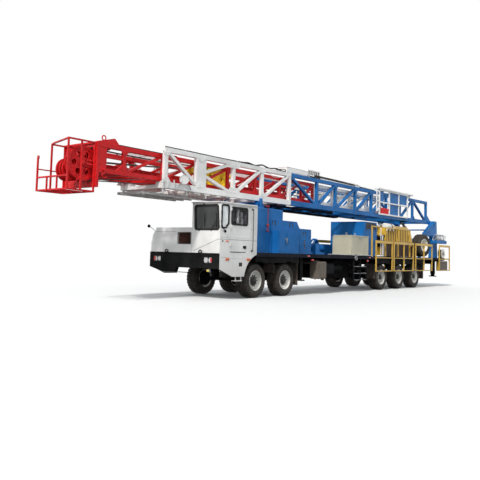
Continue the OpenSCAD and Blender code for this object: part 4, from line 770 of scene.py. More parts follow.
@piece("carrier", BLACK)
def cab_trim(form):
    wiper(form, 0.62, 2.065, 0.84, 2.38)
    wiper(form, 1.1, 2.065, 1.3, 2.38)
    # Camera over the windshield, mirror arm with its knob, bent handle on the corner post
    form.block((FRONT_X, 0.77, 2.835), (FRONT_X + 0.045, 0.825, 2.872), 0.004)
    form.hose([(6.862, 1.445, 2.2), (6.83, 1.495, 2.15), (6.77, 1.505, 2.1), (6.72, 1.5, 2.06)], 0.011, 6, 8)
    form.lathe([(0, -0.02), (0.036, -0.016), (0.045, 0.0), (0.036, 0.014), (0, 0.02)],
               (6.712, 1.496, 2.05), "X", 20)
    form.tube([(6.868, 1.45, 2.62), (6.868, 1.5, 2.6), (6.868, 1.5, 2.36), (6.868, 1.45, 2.34)], 0.011, 8)
    # Convex mirror over the far corner of the hood
    form.hose([(6.8, -1.3, 2.02), (6.88, -1.4, 2.12), (7.01, -1.46, 2.205)], 0.008, 6, 8)
    form.lathe([(0, -0.02), (0.04, -0.018), (0.052, 0.0), (0.04, 0.012), (0, 0.016)], (7.01, -1.46, 2.209),
               (0.8, 0.5, 0.0), 20)
    # Seams and the belt line
    form.block((5.09, BELT_Y - 0.004, 1.808), (5.445, BELT_Y, 1.817), 0.001)
    form.block((6.428, BELT_Y - 0.004, 1.808), (FRONT_X, BELT_Y, 1.817), 0.001)
    form.block((6.43, BELT_Y - 0.004, 1.279), (FRONT_X - 0.07, BELT_Y, 1.285), 0.001)
    form.tube([(FRONT_X, 1.449, 1.813), (FRONT_X + 0.001, 1.37, 1.812),
               (FRONT_X + 0.001, 0.39, 1.447)], 0.0045, 6)
    form.block((FRONT_X - 0.003, -1.3, 2.035), (FRONT_X + 0.002, -0.32, 2.041), 0.001)
    form.block((FRONT_X - 0.003, 0.3165, 1.42), (FRONT_X + 0.002, 0.3195, 2.12), 0.001)
    # Brackets of the grab rail
    for z in (1.49, 2.79):
        form.block((5.325, SIDE_Y, z - 0.03), (5.375, SIDE_Y + 0.012, z + 0.03), 0.003)
    # Button beside the marker lamp
    form.lathe([(0, 0), (0.022, 0), (0.022, 0.008), (0, 0.012)], (6.765, SIDE_Y, 1.762), "Y", 16)


@piece("door", BLACK)
def door_trim(form):
    form.block((5.46, BELT_Y - 0.004, 1.808), (6.415, BELT_Y, 1.817), 0.001)
    # Latch plate with its lever
    form.block((5.635, SIDE_Y - 0.001, 1.548), (5.735, SIDE_Y + 0.008, 1.645), 0.003)
    form.block((5.74, SIDE_Y + 0.018, 1.566), (5.822, SIDE_Y + 0.026, 1.645), 0.003)


@piece("carrier", WHITE)
def cab_beads(form):
    for z in (2.188, 1.886):
        form.block((5.085, SIDE_Y - 0.002, z - 0.008), (5.445, SIDE_Y + 0.005, z + 0.008), 0.003)
        form.block((6.428, SIDE_Y - 0.002, z - 0.008), (FRONT_X - 0.004, SIDE_Y + 0.005, z + 0.008), 0.003)
    # Gutter and rivets of the roof, beads of the lower side
    form.block((5.09, SIDE_Y - 0.002, 2.868), (6.885, SIDE_Y + 0.01, 2.88), 0.003)
    rivets = [(5.13 + 0.145 * i, SIDE_Y, 2.845) for i in range(13)]
    form.bolts([p for p in rivets if not 5.44 < p[0] < 6.43], "Y", 0.007, 0.004)
    for y, count in ((0.36, 10), (1.425, 9)):
        form.bolts([(FRONT_X, y, 1.5 + 0.15 * i) for i in range(count)], "X", 0.007, 0.004)
    form.block((5.62, SIDE_Y - 0.002, 1.255), (6.4, SIDE_Y + 0.004, 1.27), 0.003)


@piece("door", WHITE)
def door_beads(form):
    for z in (2.188, 1.886):
        form.block((5.465, SIDE_Y - 0.002, z - 0.008), (6.412, SIDE_Y + 0.005, z + 0.008), 0.003)


@piece("carrier", ORANGE)
def marker_lamps(form):
    for x in (5.505, 6.54):
        for s in (1, -1):
            form.block((x - 0.085, s * SIDE_Y, 1.185), (x + 0.085, s * (SIDE_Y + 0.018), 1.262), 0.006)
    form.block((6.5, SIDE_Y, 1.74), (6.62, SIDE_Y + 0.014, 1.788), 0.005)


@piece("carrier", LAMP_RED)
def red_lamps(form):
    for y in (1.155, -1.235):
        form.block((6.886, y - 0.035, 1.12), (6.93, y + 0.035, 1.25), 0.004)
    for x in (2.0, -2.7):
        for s in (-1, 1):
            form.block((x - 0.062, s * 1.4485, 1.356), (x + 0.062, s * 1.465, 1.404), 0.004)
    for x in (1.71, -2.56):
        form.block((x - 0.07, 1.405, 1.215), (x + 0.07, 1.45, 1.27), 0.006)


@piece("carrier", FOG)
def fog_lens(form):
    form.block((6.8945, 0.966, 0.843), (6.902, 1.054, 0.906), 0.004)


@piece("carrier", BLACK)
def bumper_fittings(form):
    # Bezels, lamp holders, tow hooks and bolts of the bumper
    z = 1.185
    for y, w, h in ((-1.11, 0.165, 0.09), (1.03, 0.175, 0.095)):
        box = rect(y - w, z - h, y + w, z + h)
        form.band(rounded(grown(box, 0.014), 0.02), rounded(grown(box, -0.012), 0.012), "X", 6.918, 6.931)
        form.block((6.885, y - 0.012, z - h), (6.918, y + 0.012, z + h), 0.003)
    for x in (1.71, -2.56):
        form.block((x - 0.02, 1.39, 1.26), (x + 0.02, 1.43, 1.325), 0.004)
    for y in (-0.728, 0.7):
        form.block((6.895, y - 0.075, 1.394), (6.925, y + 0.075, 1.412), 0.004)
        form.hose([(6.912, y - 0.065, 1.4), (6.915, y - 0.05, 1.455), (6.918, y, 1.478),
                   (6.915, y + 0.05, 1.455), (6.912, y + 0.065, 1.4)], 0.013, 6, 8)
    form.bolts([(6.925, y, z) for y in (-1.36, -0.72, -0.12, 0.52, 1.36) for z in (0.99, 1.34)],
               "X", 0.014, 0.01)
    form.block((6.885, -0.2, 0.78), (6.926, 0.3, 0.8), 0.003)


@piece("carrier", SEAM)
def grille_frame(form):
    box = rect(-0.27, 1.66, 0.28, 2.01)
    form.band(grown(box, 0.01), grown(box, -0.006), "X", FRONT_X - 0.004, FRONT_X + 0.006)


# Houses and deck

@piece("carrier", SEAM)
def house_seams_and_slot_shade(form):
    # Dark bottoms of the louvre slots: painted shade in the recesses
    for x, z, y in ((3.78, 2.45, 1.151), (2.74, 2.45, 1.151), (1.91, 2.155, 1.168)):
        for d in (-0.085, 0.085):
            for s in (-1, 1):
                form.block((x + d - 0.0445, s * y, z - 0.0895),
                           (x + d + 0.0445, s * (y + 0.003), z + 0.0895), 0.001)
    # Dark strips in the gaps of the louvred panel behind the cab: painted shade
    for i in range(13):
        z = 1.7 + 0.085 * i
        form.block((5.012, -0.899, z + 0.001), (5.014, 0.179, z + 0.039), 0.0005)
    # Seams of the cladding, and round the panels of the small house and the engine house
    for x in (3.3, 2.98):
        form.block((x - 0.0025, 1.1795, 2.23), (x + 0.0025, 1.1812, 2.55), 0.0005)
    for x0, x1, z0, z1 in ((1.52, 2.12, 1.5, 2.3), (4.02, 4.95, 1.5, 2.84)):
        y = 1.1905 if x1 < 3 else 1.1505
        for p, q in (((x0, z0), (x0, z1)), ((x1, z0), (x1, z1)), ((x0, z0), (x1, z0)), ((x0, z1), (x1, z1))):
            form.block((p[0] - 0.003, y - 0.001, p[1] - 0.003),
                       (q[0] + 0.003, y + 0.0012, q[1] + 0.003), 0.0005)
    # Curled handle and lock of the small house
    form.hose([(1.96, 1.195, 1.95), (1.91, 1.225, 1.9), (1.95, 1.225, 1.8), (1.9, 1.225, 1.7),
               (1.93, 1.195, 1.62)], 0.012, 6, 8)
    form.block((1.88, 1.19, 1.74), (1.96, 1.202, 1.84), 0.004)


@piece("carrier", BLUE)
def house_fittings(form):
    # Handles and hinges
    for x, y, z in ((4.3, 1.15, 2.0), (4.66, 1.15, 2.0), (1.56, 1.19, 1.75), (1.56, 1.19, 2.1)):
        form.block((x - 0.05, y, z - 0.03), (x + 0.05, y + 0.012, z + 0.03), 0.004)
    # Stiffening ribs, roof hatch and eyes
    for x in (4.02, 4.48, 4.95):
        form.block((x - 0.02, -1.162, 1.47), (x + 0.02, -1.15, 2.88), 0.004)
    form.block((4.5, -0.6, 2.934), (4.95, 0.1, 2.955), 0.008)
    for x, y in ((3.4, 0.85), (3.4, -0.85), (4.9, 0.85), (4.9, -0.85)):
        form.tube([(x - 0.05, y, 2.93), (x - 0.045, y, 2.985), (x, y, 3.0), (x + 0.045, y, 2.985),
                   (x + 0.05, y, 2.93)], 0.012, 8)
    form.block((2.35, -0.05, 2.574), (3.05, 0.75, 2.6), 0.01)
    form.bolts([(x, 1.18, z) for x in (2.26, 3.86) for z in (1.55, 1.8, 2.05, 2.28)], "Y", 0.012, 0.006)
    form.bolts([(2.26 + 0.2 * i, 1.18, 2.235) for i in range(9)], "Y", 0.01, 0.005)
    form.bolts([(-3.86 + 0.19 * i, 1.18, z) for i in range(7) for z in (1.5, 2.5)], "Y", 0.01, 0.005)


@piece("cabinet_leaf_front", STEEL)
def leaf_handle(form):
    form.block((3.452, 1.438, 1.8), (3.472, 1.462, 1.96), 0.006)


@piece("cabinet_leaf_rear", STEEL)
def leaf_rod(form):
    form.block((3.395, 1.438, 1.76), (3.415, 1.462, 1.98), 0.006)
    form.tube([(3.405, 1.46, 1.78), (3.405, 1.475, 1.82), (3.405, 1.475, 1.92),
               (3.405, 1.46, 1.96)], 0.007, 6)


@piece("carrier", VENT)
def vent_mesh(form):
    # Vents of the winch house
    form.block((-3.79, 1.1815, 2.555), (-2.84, 1.186, 2.86), 0.001)
    form.block((-3.79, 1.16, 2.551), (-2.84, 1.1625, 2.819), 0.001)


@piece("carrier", BLUE)
def vent_frame(form):
    box = rect(-3.79, 2.555, -2.84, 2.86)
    form.band(grown(box, 0.022), grown(box, -0.012), "Y", 1.18, 1.192)
    form.block((-3.325, 1.18, 2.56), (-3.305, 1.192, 2.86), 0.002)


@piece("carrier", ZINC)
def stack_bands(form):
    # Collar of the exhaust stack and bands of its silencer
    form.lathe([(0.056, 0), (0.064, 0.005), (0.064, 0.02), (0.056, 0.025)], (2.612, -0.82, 2.99), "Z",
               24, closed=True)
    for y in (-0.85, -0.5, -0.15):
        form.lathe([(0.0905, -0.015), (0.096, -0.012), (0.096, 0.012), (0.0905, 0.015)], (2.612, y, 2.685),
                   "Y", 32, closed=True)


LINK_PITCH = 0.052


def chain(form, x, y, z1, z0):
    """Hanging chain: links turned a quarter from one to the next."""
    for i in range(int((z1 - z0) / LINK_PITCH)):
        z = z1 - LINK_PITCH * (i + 0.5)
        ring = []
        for t in turns(10):
            across, along = 0.017 * math.cos(t), 0.034 * math.sin(t)
            ring.append((x + across, y, z + along) if i % 2 else (x, y + across, z + along))
        form.tube(ring, 0.0065, 5, closed=True)


@piece("carrier", DARK_RED)
def load_chain(form):
    x, y = 4.175, 1.205
    form.block((x - 0.035, 1.12, 2.965), (x + 0.035, 1.235, 3.02), 0.008)
    chain(form, x, y, 2.96, 2.4)
    form.lathe([(0, -0.05), (0.045, -0.04), (0.05, 0.0), (0.03, 0.05), (0, 0.055)], (x, y, 2.36), "Z", 16)
    form.hose([(x, y, 2.33), (x + 0.005, y, 2.26), (x + 0.05, y, 2.21), (x + 0.03, y, 2.16),
               (x - 0.03, y, 2.165), (x - 0.05, y, 2.2)], 0.018, 6, 8)


@piece("carrier", BLUE)
def pump_fittings(form):
    # Ribs and cap of the auxiliary pump, its hoses and their block
    for i in range(6):
        x = 0.28 + 0.045 * i
        form.lathe([(0.118, -0.006), (0.135, -0.004), (0.135, 0.004), (0.118, 0.006)], (x, 0.9, 1.69), "X",
                   28, closed=True)
    form.lathe([(0, 0), (0.07, 0), (0.07, 0.02), (0.055, 0.03), (0, 0.03)], (0.4, 0.9, 1.8), "Z", 24)
    for y, x1, z1 in ((0.84, 1.22, 1.84), (0.9, 1.3, 1.9), (0.96, 1.36, 1.82)):
        form.hose([(0.55, y, 1.85), (0.8, y + 0.04, 2.02), (1.05, y + 0.06, z1 + 0.02), (x1, y + 0.05, 1.6),
                   (x1 + 0.03, y + 0.02, 1.46)], 0.026, 6, 10)
    form.block((1.14, 0.8, 1.45), (1.43, 1.08, 1.53), 0.01)


@piece("carrier", ZINC)
def deck_hose(form):
    # Light hose along the deck's edge
    form.hose([(0.56, 1.4, 1.468), (0.1, 1.43, 1.472), (-0.35, 1.41, 1.468), (-0.8, 1.45, 1.468),
               (-1.3, 1.462, 1.462), (-1.46, 1.472, 1.42), (-1.56, 1.478, 1.35), (-1.52, 1.482, 1.27),
               (-1.42, 1.482, 1.29), (-1.4, 1.478, 1.37), (-1.52, 1.474, 1.43), (-1.8, 1.462, 1.462),
               (-2.3, 1.45, 1.468), (-2.75, 1.46, 1.455), (-2.98, 1.465, 1.41)], 0.015, 5, 8)


@piece("carrier", WOOD)
def timber_blocks(form):
    for x, y, w in ((-0.25, 1.33, 0.34), (-0.95, 1.36, 0.22), (-2.75, 1.36, 0.16)):
        form.block((x - w / 2, y - 0.07, 1.449), (x + w / 2, y + 0.07, 1.475), 0.008)


@piece("carrier", WHITE)
def white_pipes(form):
    # Standing pipes beside the winch house
    form.tube([(-4.42, 1.2, 1.46), (-4.42, 1.2, 2.35), (-4.42, 1.05, 2.44)], 0.022, 12)
    form.tube([(-4.25, 1.2, 1.46), (-4.25, 1.2, 2.68), (-4.25, 1.1, 2.76)], 0.016, 12)
    form.tube([(-4.6, 1.16, 1.46), (-4.6, 1.16, 2.05)], 0.03, 12)
    for x, y in ((-4.42, 1.2), (-4.25, 1.2), (-4.6, 1.16)):
        form.ring(0.015, 0.05, 0, 0.014, (x, y, 1.45), "Z", 16)


@piece("carrier", BEIGE)
def locker_edges(form):
    # Corner posts, hinge plates and foot strips of the locker
    for x in (-2.585, -1.165):
        for y in (0.6, 1.44):
            form.block((x - 0.014, y - 0.014, 1.47), (x + 0.014, y + 0.004, 2.2), 0.003)
    for x in (-2.2, -1.55):
        form.block((x - 0.03, 1.442, 1.6), (x + 0.03, 1.452, 1.63), 0.003)
    form.block((-2.58, 1.4415, 1.475), (-1.17, 1.452, 1.505), 0.004)
    form.block((-1.161, 0.6, 1.475), (-1.15, 1.44, 1.505), 0.004)


@piece("carrier", STEEL)
def locker_latch(form):
    form.block((-1.95, 1.444, 2.1), (-1.8, 1.464, 2.19), 0.004)


# Mast, crown and rigging

# Side faces of the lower and upper mast, top and foot of the lower one
LOW_Y, UPPER_Y = 0.914, 0.695
TOP_Z, FOOT_Z = 4.32, 3.17
# Posts of the lower mast, with the width of the white ones
WHITE_POSTS = ((8.66, 0.13), (7.2, 0.13), (5.645, 0.35), (4.122, 0.12))
BLUE_POSTS = (-0.816, -2.473, -3.95, -5.43, -6.91, -8.39)


def gusset(form, x, y, out, z0, half0, z1, half1):
    """Tapered plate on the mast's side, from one level and half width to another."""
    form.prism([(x - half0, z0), (x + half0, z0), (x + half1, z1), (x - half1, z1)], "Y", y, y + out)


def joints(form, posts):
    """Gussets with bolts at the foot and head of the lower mast's posts."""
    foot, head = FOOT_Z + 0.14, TOP_Z - 0.1
    for x, width in posts:
        for s in (-1, 1):
            y = s * (LOW_Y - 0.004)
            gusset(form, x, y, s * 0.008, foot, width / 2 + 0.16, foot + 0.17, width / 2 + 0.02)
            gusset(form, x, y, s * 0.008, head, width / 2 + 0.12, head - 0.12, width / 2 + 0.02)
            form.bolts([(x + dx, y + s * 0.008, z) for dx in (-0.05, 0.05)
                        for z in (foot + 0.05, foot + 0.12, head - 0.04)], (0, s, 0), 0.013, 0.01)


@piece("mast", MAST_WHITE)
def white_joints(form):
    joints(form, WHITE_POSTS)


@piece("mast", BLUE)
def blue_joints(form):
    joints(form, [(x, 0.12) for x in BLUE_POSTS])


@piece("mast", MAST_WHITE)
def mast_trim(form):
    # Splice plates at the change of colour
    for s in (-1, 1):
        for low, high in ((TOP_Z - 0.115, TOP_Z - 0.01), (FOOT_Z + 0.01, FOOT_Z + 0.14)):
            form.block((2.422, s * LOW_Y, low), (2.522, s * (LOW_Y + 0.01), high), 0.002)
        form.bolts([(x, s * (LOW_Y + 0.01), z) for x in (2.447, 2.497)
                    for z in (TOP_Z - 0.09, TOP_Z - 0.04, FOOT_Z + 0.04, FOOT_Z + 0.11)],
                   (0, s, 0), 0.011, 0.009)
    # Thin rods and a bent pipe seen between the sections
    for z in (3.975, 4.005):
        form.tube([(4.13, 0.745, z), (1.19, 0.745, z)], 0.01, 8)
    form.hose([(4.05, 0.76, 4.02), (3.95, 0.76, 4.16), (3.6, 0.76, 4.19), (3.3, 0.76, 4.1),
               (2.9, 0.76, 4.12)], 0.012)
    # Brackets under the near chord over the cab
    for x0, x1 in ((6.2, 6.42), (6.72, 6.98), (7.2, 7.44)):
        form.block((x0, 0.66, 3.12), (x1, 0.86, 3.168), 0.006)
    for x in (8.36, 8.6, 8.8):
        form.block((x - 0.02, 0.93, 3.19), (x + 0.02, 0.945, 3.43), 0.003)


LAMP_AT, LAMP_WAY = (8.02, 1.0, 3.47), (0.6, 0.79, 0.1)


@piece("mast", CLEAR)
def floodlight(form):
    form.lathe([(0, -0.1), (0.05, -0.09), (0.11, -0.04), (0.138, 0.0), (0.138, 0.016), (0.124, 0.016),
                (0.12, 0.004), (0, 0.0)], LAMP_AT, LAMP_WAY, 32)
    form.block((8.1, 0.912, 3.22), (8.26, 0.93, 3.34), 0.004)


@piece("mast", STEEL)
def floodlight_arm(form):
    form.tube([(8.18, 0.935, 3.28), (8.1, 0.96, 3.36), (8.04, 0.97, 3.44)], 0.014, 8)
    form.tube([(7.96, 1.03, 3.42), (7.8, 1.02, 3.28), (7.66, 0.93, 3.22)], 0.014, 8)


@piece("mast", HOSE)
def chord_hoses(form):
    # Bundle along the near top chord
    for i, (y, r) in enumerate(((0.885, 0.017), (0.85, 0.02), (0.812, 0.015))):
        lift = TOP_Z + r + 0.001
        line = [(8.7 - 0.05 * i, y, lift), (7.6, y, lift + 0.006 * i), (6.2, y, lift),
                (5.3, y, lift + 0.012), (4.9, y + 0.01, lift + 0.035 - 0.01 * i),
                (4.5, y - 0.008, lift + 0.002), (4.1, y + 0.01, lift + 0.05 + 0.015 * i),
                (3.7, y - 0.01, lift + 0.01), (3.3, y + 0.006, lift + 0.045), (3.0, y, lift + 0.01),
                (2.75, y, lift)]
        form.hose(line, r)
    # Hoses along the rear part
    for y in (0.884, 0.85, 0.817, 0.6, 0.56):
        start, level = (0.36, TOP_Z + 0.052) if y > 0.8 else (2.6, TOP_Z)
        form.hose([(start, y, level + 0.018), (-0.6, y + 0.004, level + 0.026),
                   (-1.5, y - 0.004, level + 0.018), (-2.7, y, level + 0.02), (-2.95, y, TOP_Z + 0.019),
                   (-4.2, y, TOP_Z + 0.018)], 0.017)
    # Second layer of the bundle, which thins out towards the rear
    for y, z, r in ((0.885, 4.405, 0.026), (0.845, 4.415, 0.026), (0.865, 4.445, 0.02)):
        form.hose([(0.8, y, z), (0.2, y, z - 0.012), (-0.8, y + 0.005, z - 0.02), (-1.6, y, z - 0.03),
                   (-2.4, y, z - 0.045)], r)
    # Slack loops beside the cover boxes
    form.hose([(2.78, 0.87, TOP_Z + 0.02), (2.74, 0.9, TOP_Z + 0.07), (2.95, 0.9, TOP_Z + 0.08),
               (3.25, 0.89, TOP_Z + 0.03)], 0.015)
    form.hose([(1.26, 0.86, 4.36), (1.27, 0.8, 4.45), (1.0, 0.86, 4.36), (0.5, 0.87, 4.345),
               (0.37, 0.87, 4.375)], 0.015)


@piece("mast", DECK)
def mast_pipes(form):
    # Pipes on brackets under the mast
    for s, end in ((-1, -3.4), (1, -0.98)):
        for y, z, r in ((0.64, 3.115, 0.042), (0.53, 3.125, 0.03), (0.46, 3.13, 0.022)):
            form.tube([(3.2, s * y, z), (end, s * y, z)], r, 14)
    for x in (3.0, 1.6, 0.2, -0.9, -2.6, -3.3):
        form.block((x - 0.03, -0.72, 3.156), (x + 0.03, 0.72, 3.172), 0.004)
        for s in (-1, 1) if x > -1 else (-1,):
            form.block((x - 0.025, s * 0.42, 3.078), (x + 0.025, s * 0.7, 3.158), 0.004)


@piece("mast", MAST_WHITE)
def chord_clamps(form):
    # Lid of the cover box
    form.block((1.28, 0.485, 4.505), (2.67, 0.893, 4.54), 0.012)
    # Wraps and a wrapped line on the rear top chord, clamps on the front one
    for i, x in enumerate((-1.84, -2.05, -2.32, -2.6, -2.86, -3.12, -3.35)):
        foot, head = (0.035, 0.09) if x < -2.8 else (0.085, 0.13)
        form.block((x - 0.05, 0.8, TOP_Z + foot), (x + 0.05, 0.9, TOP_Z + head + 0.01 * (i % 3)), 0.01)
    form.tube([(-2.36, 0.87, 4.385), (-3.2, 0.87, 4.37), (-4.15, 0.87, 4.352)], 0.03, 12)
    for x in (7.9, 6.6, 5.5, 4.3, 3.2):
        form.block((x - 0.02, 0.79, TOP_Z), (x + 0.02, 0.9, TOP_Z + 0.045), 0.004)


@piece("mast", BLACK)
def louvre_shade(form):
    # Dark inside of the louvred box
    for i in range(6):
        form.block((0.43 + 0.135 * i, 0.8535, 4.42), (0.52 + 0.135 * i, 0.857, 4.57))


@piece("top_mast", HOSE)
def upper_hoses(form):
    # Hose from the crown along the upper mast, and hoses inside its rear part
    form.hose([(10.15, 0.63, 4.172), (9.8, 0.65, 4.168), (9.0, 0.655, 4.168), (8.0, 0.65, 4.168)], 0.015)
    for y, z in ((0.42, 3.62), (0.46, 3.72), (0.4, 3.84), (0.47, 3.94)):
        form.hose([(2.9, y, z), (2.2, y + 0.02, z - 0.02), (1.5, y - 0.02, z + 0.01), (0.6, y, z - 0.015),
                   (-0.2, y, z)], 0.016)


@piece("top_mast", PIPE)
def cable_tray(form):
    # Tray with its rungs on bars across the top chords
    for y in (0.05, 0.25):
        form.block((4.1, y - 0.012, 4.172), (9.4, y + 0.012, 4.225), 0.003)
    for i in range(36):
        x = 4.18 + 0.147 * i
        form.block((x - 0.012, 0.05, 4.18), (x + 0.012, 0.25, 4.2), 0.002)
    for y in (0.09, 0.12, 0.17, 0.21):
        form.tube([(4.1, y, 4.214), (9.4, y, 4.214)], 0.014, 8)
    for x in (9.2, 8.56, 7.12, 5.68, 4.24):
        form.block((x - 0.03, -0.66, 4.151), (x + 0.03, 0.66, 4.172), 0.003)


KICK_Y = -0.602


@piece("top_mast", RED)
def upper_plates(form):
    # Kick plates with their ribs on the far side
    form.block((0.62, KICK_Y, 3.475), (10.2, KICK_Y + 0.005, 3.8), 0.001)
    for i in range(24):
        x = 0.8 + 0.4 * i
        form.block((x - 0.012, KICK_Y + 0.005, 3.475), (x + 0.012, KICK_Y + 0.03, 3.8), 0.002)
    form.block((0.62, -0.61, 3.79), (10.2, -0.565, 3.815), 0.003)
    form.block((1.0, KICK_Y, 3.86), (2.9, KICK_Y + 0.005, 4.02), 0.001)
    # Gussets of the posts
    for x in (10.0, 8.56, 7.12, 5.68, 4.24, 2.8, 1.36):
        for s in (-1, 1):
            y = s * UPPER_Y
            gusset(form, x, y, s * 0.007, 3.49, 0.17, 3.62, 0.06)
            gusset(form, x, y, s * 0.007, 4.03, 0.15, 3.92, 0.06)
            form.bolts([(x + d, y + s * 0.007, 3.55) for d in (-0.07, 0.07)], (0, s, 0), 0.011, 0.008)


@piece("top_mast", MAST_WHITE)
def rear_plates(form):
    for x in (-0.92, -2.36, -3.8, -5.1):
        for s in (-1, 1):
            gusset(form, x, s * UPPER_Y, s * 0.007, 3.49, 0.16, 3.62, 0.05)
            gusset(form, x, s * UPPER_Y, s * 0.007, 4.03, 0.14, 3.92, 0.05)
    # Light kick plate on the far side, and two rows of rungs under their rails
    form.block((-5.1, KICK_Y, 3.475), (0.4, KICK_Y + 0.005, 3.7), 0.001)
    for i in range(16):
        x = -4.9 + 0.33 * i
        y = 0.46 if i % 2 else -0.1
        form.tube([(x, y, 3.5), (x, y, 4.02)], 0.012, 6)
    for y in (0.46, -0.1):
        form.tube([(-5.1, y, 4.02), (0.4, y, 4.02)], 0.016, 8)


BLOCK_X, BLOCK_Z = 5.79, 3.82


@piece("top_mast", ROPE)
def hoist_ropes(form):
    # Ropes from the crown's sheaves to the block; the lower one is taut
    for y, x, crown_z in ((0.48, 11.2, 3.998), (0.39, 11.2, 3.998), (0.13, 11.34, 3.675),
                          (0.01, 11.34, 3.675), (0.48, 11.2, 3.142), (0.25, 11.34, 3.675)):
        reach, sag = (-0.32, 0) if crown_z < 3.3 else (0.315, 0.05)
        end_z = BLOCK_Z + reach
        form.hose([(x, y, crown_z), (8.4, y * 0.55, (crown_z + end_z) / 2 - sag),
                   (BLOCK_X, y * 0.15, end_z)], 0.014, 6, 8)
    # Fast line back along the mast
    form.hose([(11.34, 0.25, 3.145), (8.0, 0.22, 3.47), (4.0, 0.22, 3.52), (0.0, 0.22, 3.5),
               (-5.2, 0.22, 3.47)], 0.014, 8, 8)


@piece("top_mast", BRIGHTENED_BLOCK_YELLOW)
def block_guard(form):
    # Sheave guard, bail, hook body and pin of the block
    form.ring(0.335, 0.345, -0.15, 0.15, (BLOCK_X, 0, BLOCK_Z), "Y", 40)
    for s in (-1, 1):
        form.hose([(5.1, s * 0.2, 3.84), (5.0, s * 0.24, 3.98), (4.85, s * 0.2, 4.02),
                   (4.8, s * 0.08, 3.94)], 0.03, 6, 10)
    form.prism([(6.26, 3.9), (6.3, 4.02), (6.46, 4.14), (6.56, 4.12), (6.8, 4.0), (6.78, 3.9), (6.6, 3.86)],
               "Y", -0.13, 0.13)
    form.lathe([(0, -0.15), (0.05, -0.15), (0.05, 0.15), (0, 0.15)], (6.64, 0, 3.94), "Y", 20)


@piece("top_mast", RED)
def crown_details(form):
    # Bolts of the crown plate, and two small strips beside them
    form.bolts([(10.92, s * 0.665, z) for s in (-1, 1) for z in (3.05, 3.25, 3.45, 3.65, 3.85, 4.05)],
               "X", 0.016, 0.012)
    form.bolts([(10.92, y, 3.03) for y in (-0.5, -0.25, 0.25, 0.5)], "X", 0.016, 0.012)
    for z in (3.52, 3.62):
        form.block((10.92, 0.56, z), (11.16, 0.6, z + 0.05), 0.005)
    # Hook at the crown's lower corner
    form.block((10.63, 0.69, 3.42), (10.73, 0.735, 3.47), 0.006)
    form.hose([(10.68, 0.72, 3.44), (10.67, 0.72, 3.37), (10.74, 0.72, 3.32), (10.72, 0.72, 3.26),
               (10.65, 0.72, 3.24), (10.6, 0.72, 3.29)], 0.016, 6, 8)
    # Stays of the cage
    form.tube([(11.6, 0.6, 2.93), (11.15, 0.61, 3.42)], 0.012, 8)
    form.tube([(10.95, -0.62, 3.42), (11.73, -0.62, 3.42)], 0.016, 8)


@piece("top_mast", RED)
def shaft_caps(form):
    # Shaft ends with a short pin
    for y in (0.556, 0.345):
        form.lathe([(0, 0), (0.055, 0), (0.055, 0.012), (0.03, 0.02), (0, 0.02)], (11.204, y, 3.57), "Y", 24)
    form.lathe([(0, 0), (0.045, 0), (0.045, 0.012), (0, 0.016)], (11.34, 0.342, 3.41), "Y", 24)
    form.tube([(11.204, 0.578, 3.57), (11.204, 0.6, 3.57)], 0.008, 6)


@piece("top_mast", LAMP_RED)
def crown_light(form):
    # Warning light on the cage
    form.lathe([(0, 0), (0.035, 0), (0.035, 0.05), (0.02, 0.075), (0, 0.08)], (11.735, -0.625, 3.7), "Z", 20)


@piece("mast", BLUE)
def wind_sheets(form):
    form.block((-5.6, LOW_Y + 0.012, 3.35), (-6.58, LOW_Y + 0.018, 4.4), 0.002)
    form.block((-4.6, LOW_Y + 0.012, 3.9), (-5.05, LOW_Y + 0.018, 4.38), 0.002)
    form.block((-6.7, LOW_Y + 0.012, 3.92), (-7.55, LOW_Y + 0.018, 4.4), 0.002)


@piece("mast", RED)
def red_sheet(form):
    form.block((-4.62, LOW_Y + 0.012, 3.34), (-5.55, LOW_Y + 0.018, 3.62), 0.002)
    for i in range(5):
        form.tube([(-4.66 - 0.2 * i, LOW_Y + 0.03, 3.36), (-4.76 - 0.2 * i, LOW_Y + 0.03, 3.6)], 0.012, 6)


@piece("mast", MAST_WHITE)
def wall_trim(form):
    # Second post at the front of the wall, with its ties
    form.block((-4.36, LOW_Y + 0.005, 3.42), (-4.31, LOW_Y + 0.055, 4.4), 0.005)
    for z in (3.5, 3.9, 4.32):
        form.block((-4.57, LOW_Y + 0.018, z - 0.02), (-4.33, LOW_Y + 0.042, z + 0.02), 0.004)
    form.bolts([(x, LOW_Y + 0.06, z) for x in (-4.59, -5.59, -6.6, -7.62) for z in (3.34, 3.9, 4.4)],
               "Y", 0.013, 0.01)


# Rear platform, guard and under the deck

RAIL_PANELS = ((-4.78, -3.17), (-7.06, -4.93), (-9.35, -7.3))
REEL_AT = (-11.18, 1.18, 1.67)


@piece("carrier", RIM_WHITE)
def guard_hoods(form):
    # Curved hoods over the front of the drum guard
    line = [(-5.05, 2.852), (-5.17, 2.907), (-5.4, 2.937), (-5.7, 2.937), (-5.93, 2.907), (-6.05, 2.852)]
    for s in (-1, 1):
        form.prism(line, "Y", s * 0.72, s * 1.02)
    for s in (-1, 1):
        for k in range(3):
            x = -5.0 - 0.33 * k
            form.prism([(x, 2.6), (x - 0.05, 2.72), (x - 0.15, 2.8), (x - 0.24, 2.82), (x - 0.24, 2.8),
                        (x - 0.14, 2.775), (x - 0.06, 2.7), (x - 0.02, 2.6)], "Y", s * 1.1015, s * 1.135)
    # White air cleaner at the guard's front corner, with its band
    form.lathe([(0, -0.3), (0.12, -0.3), (0.15, -0.26), (0.15, 0.26), (0.12, 0.3), (0, 0.3)],
               (-5.32, 1.01, 2.79), "X", 32)


@piece("carrier", BLACK)
def cleaner_band(form):
    form.ring(0.14, 0.156, -0.035, 0.035, (-5.48, 1.01, 2.79), "X", 32)


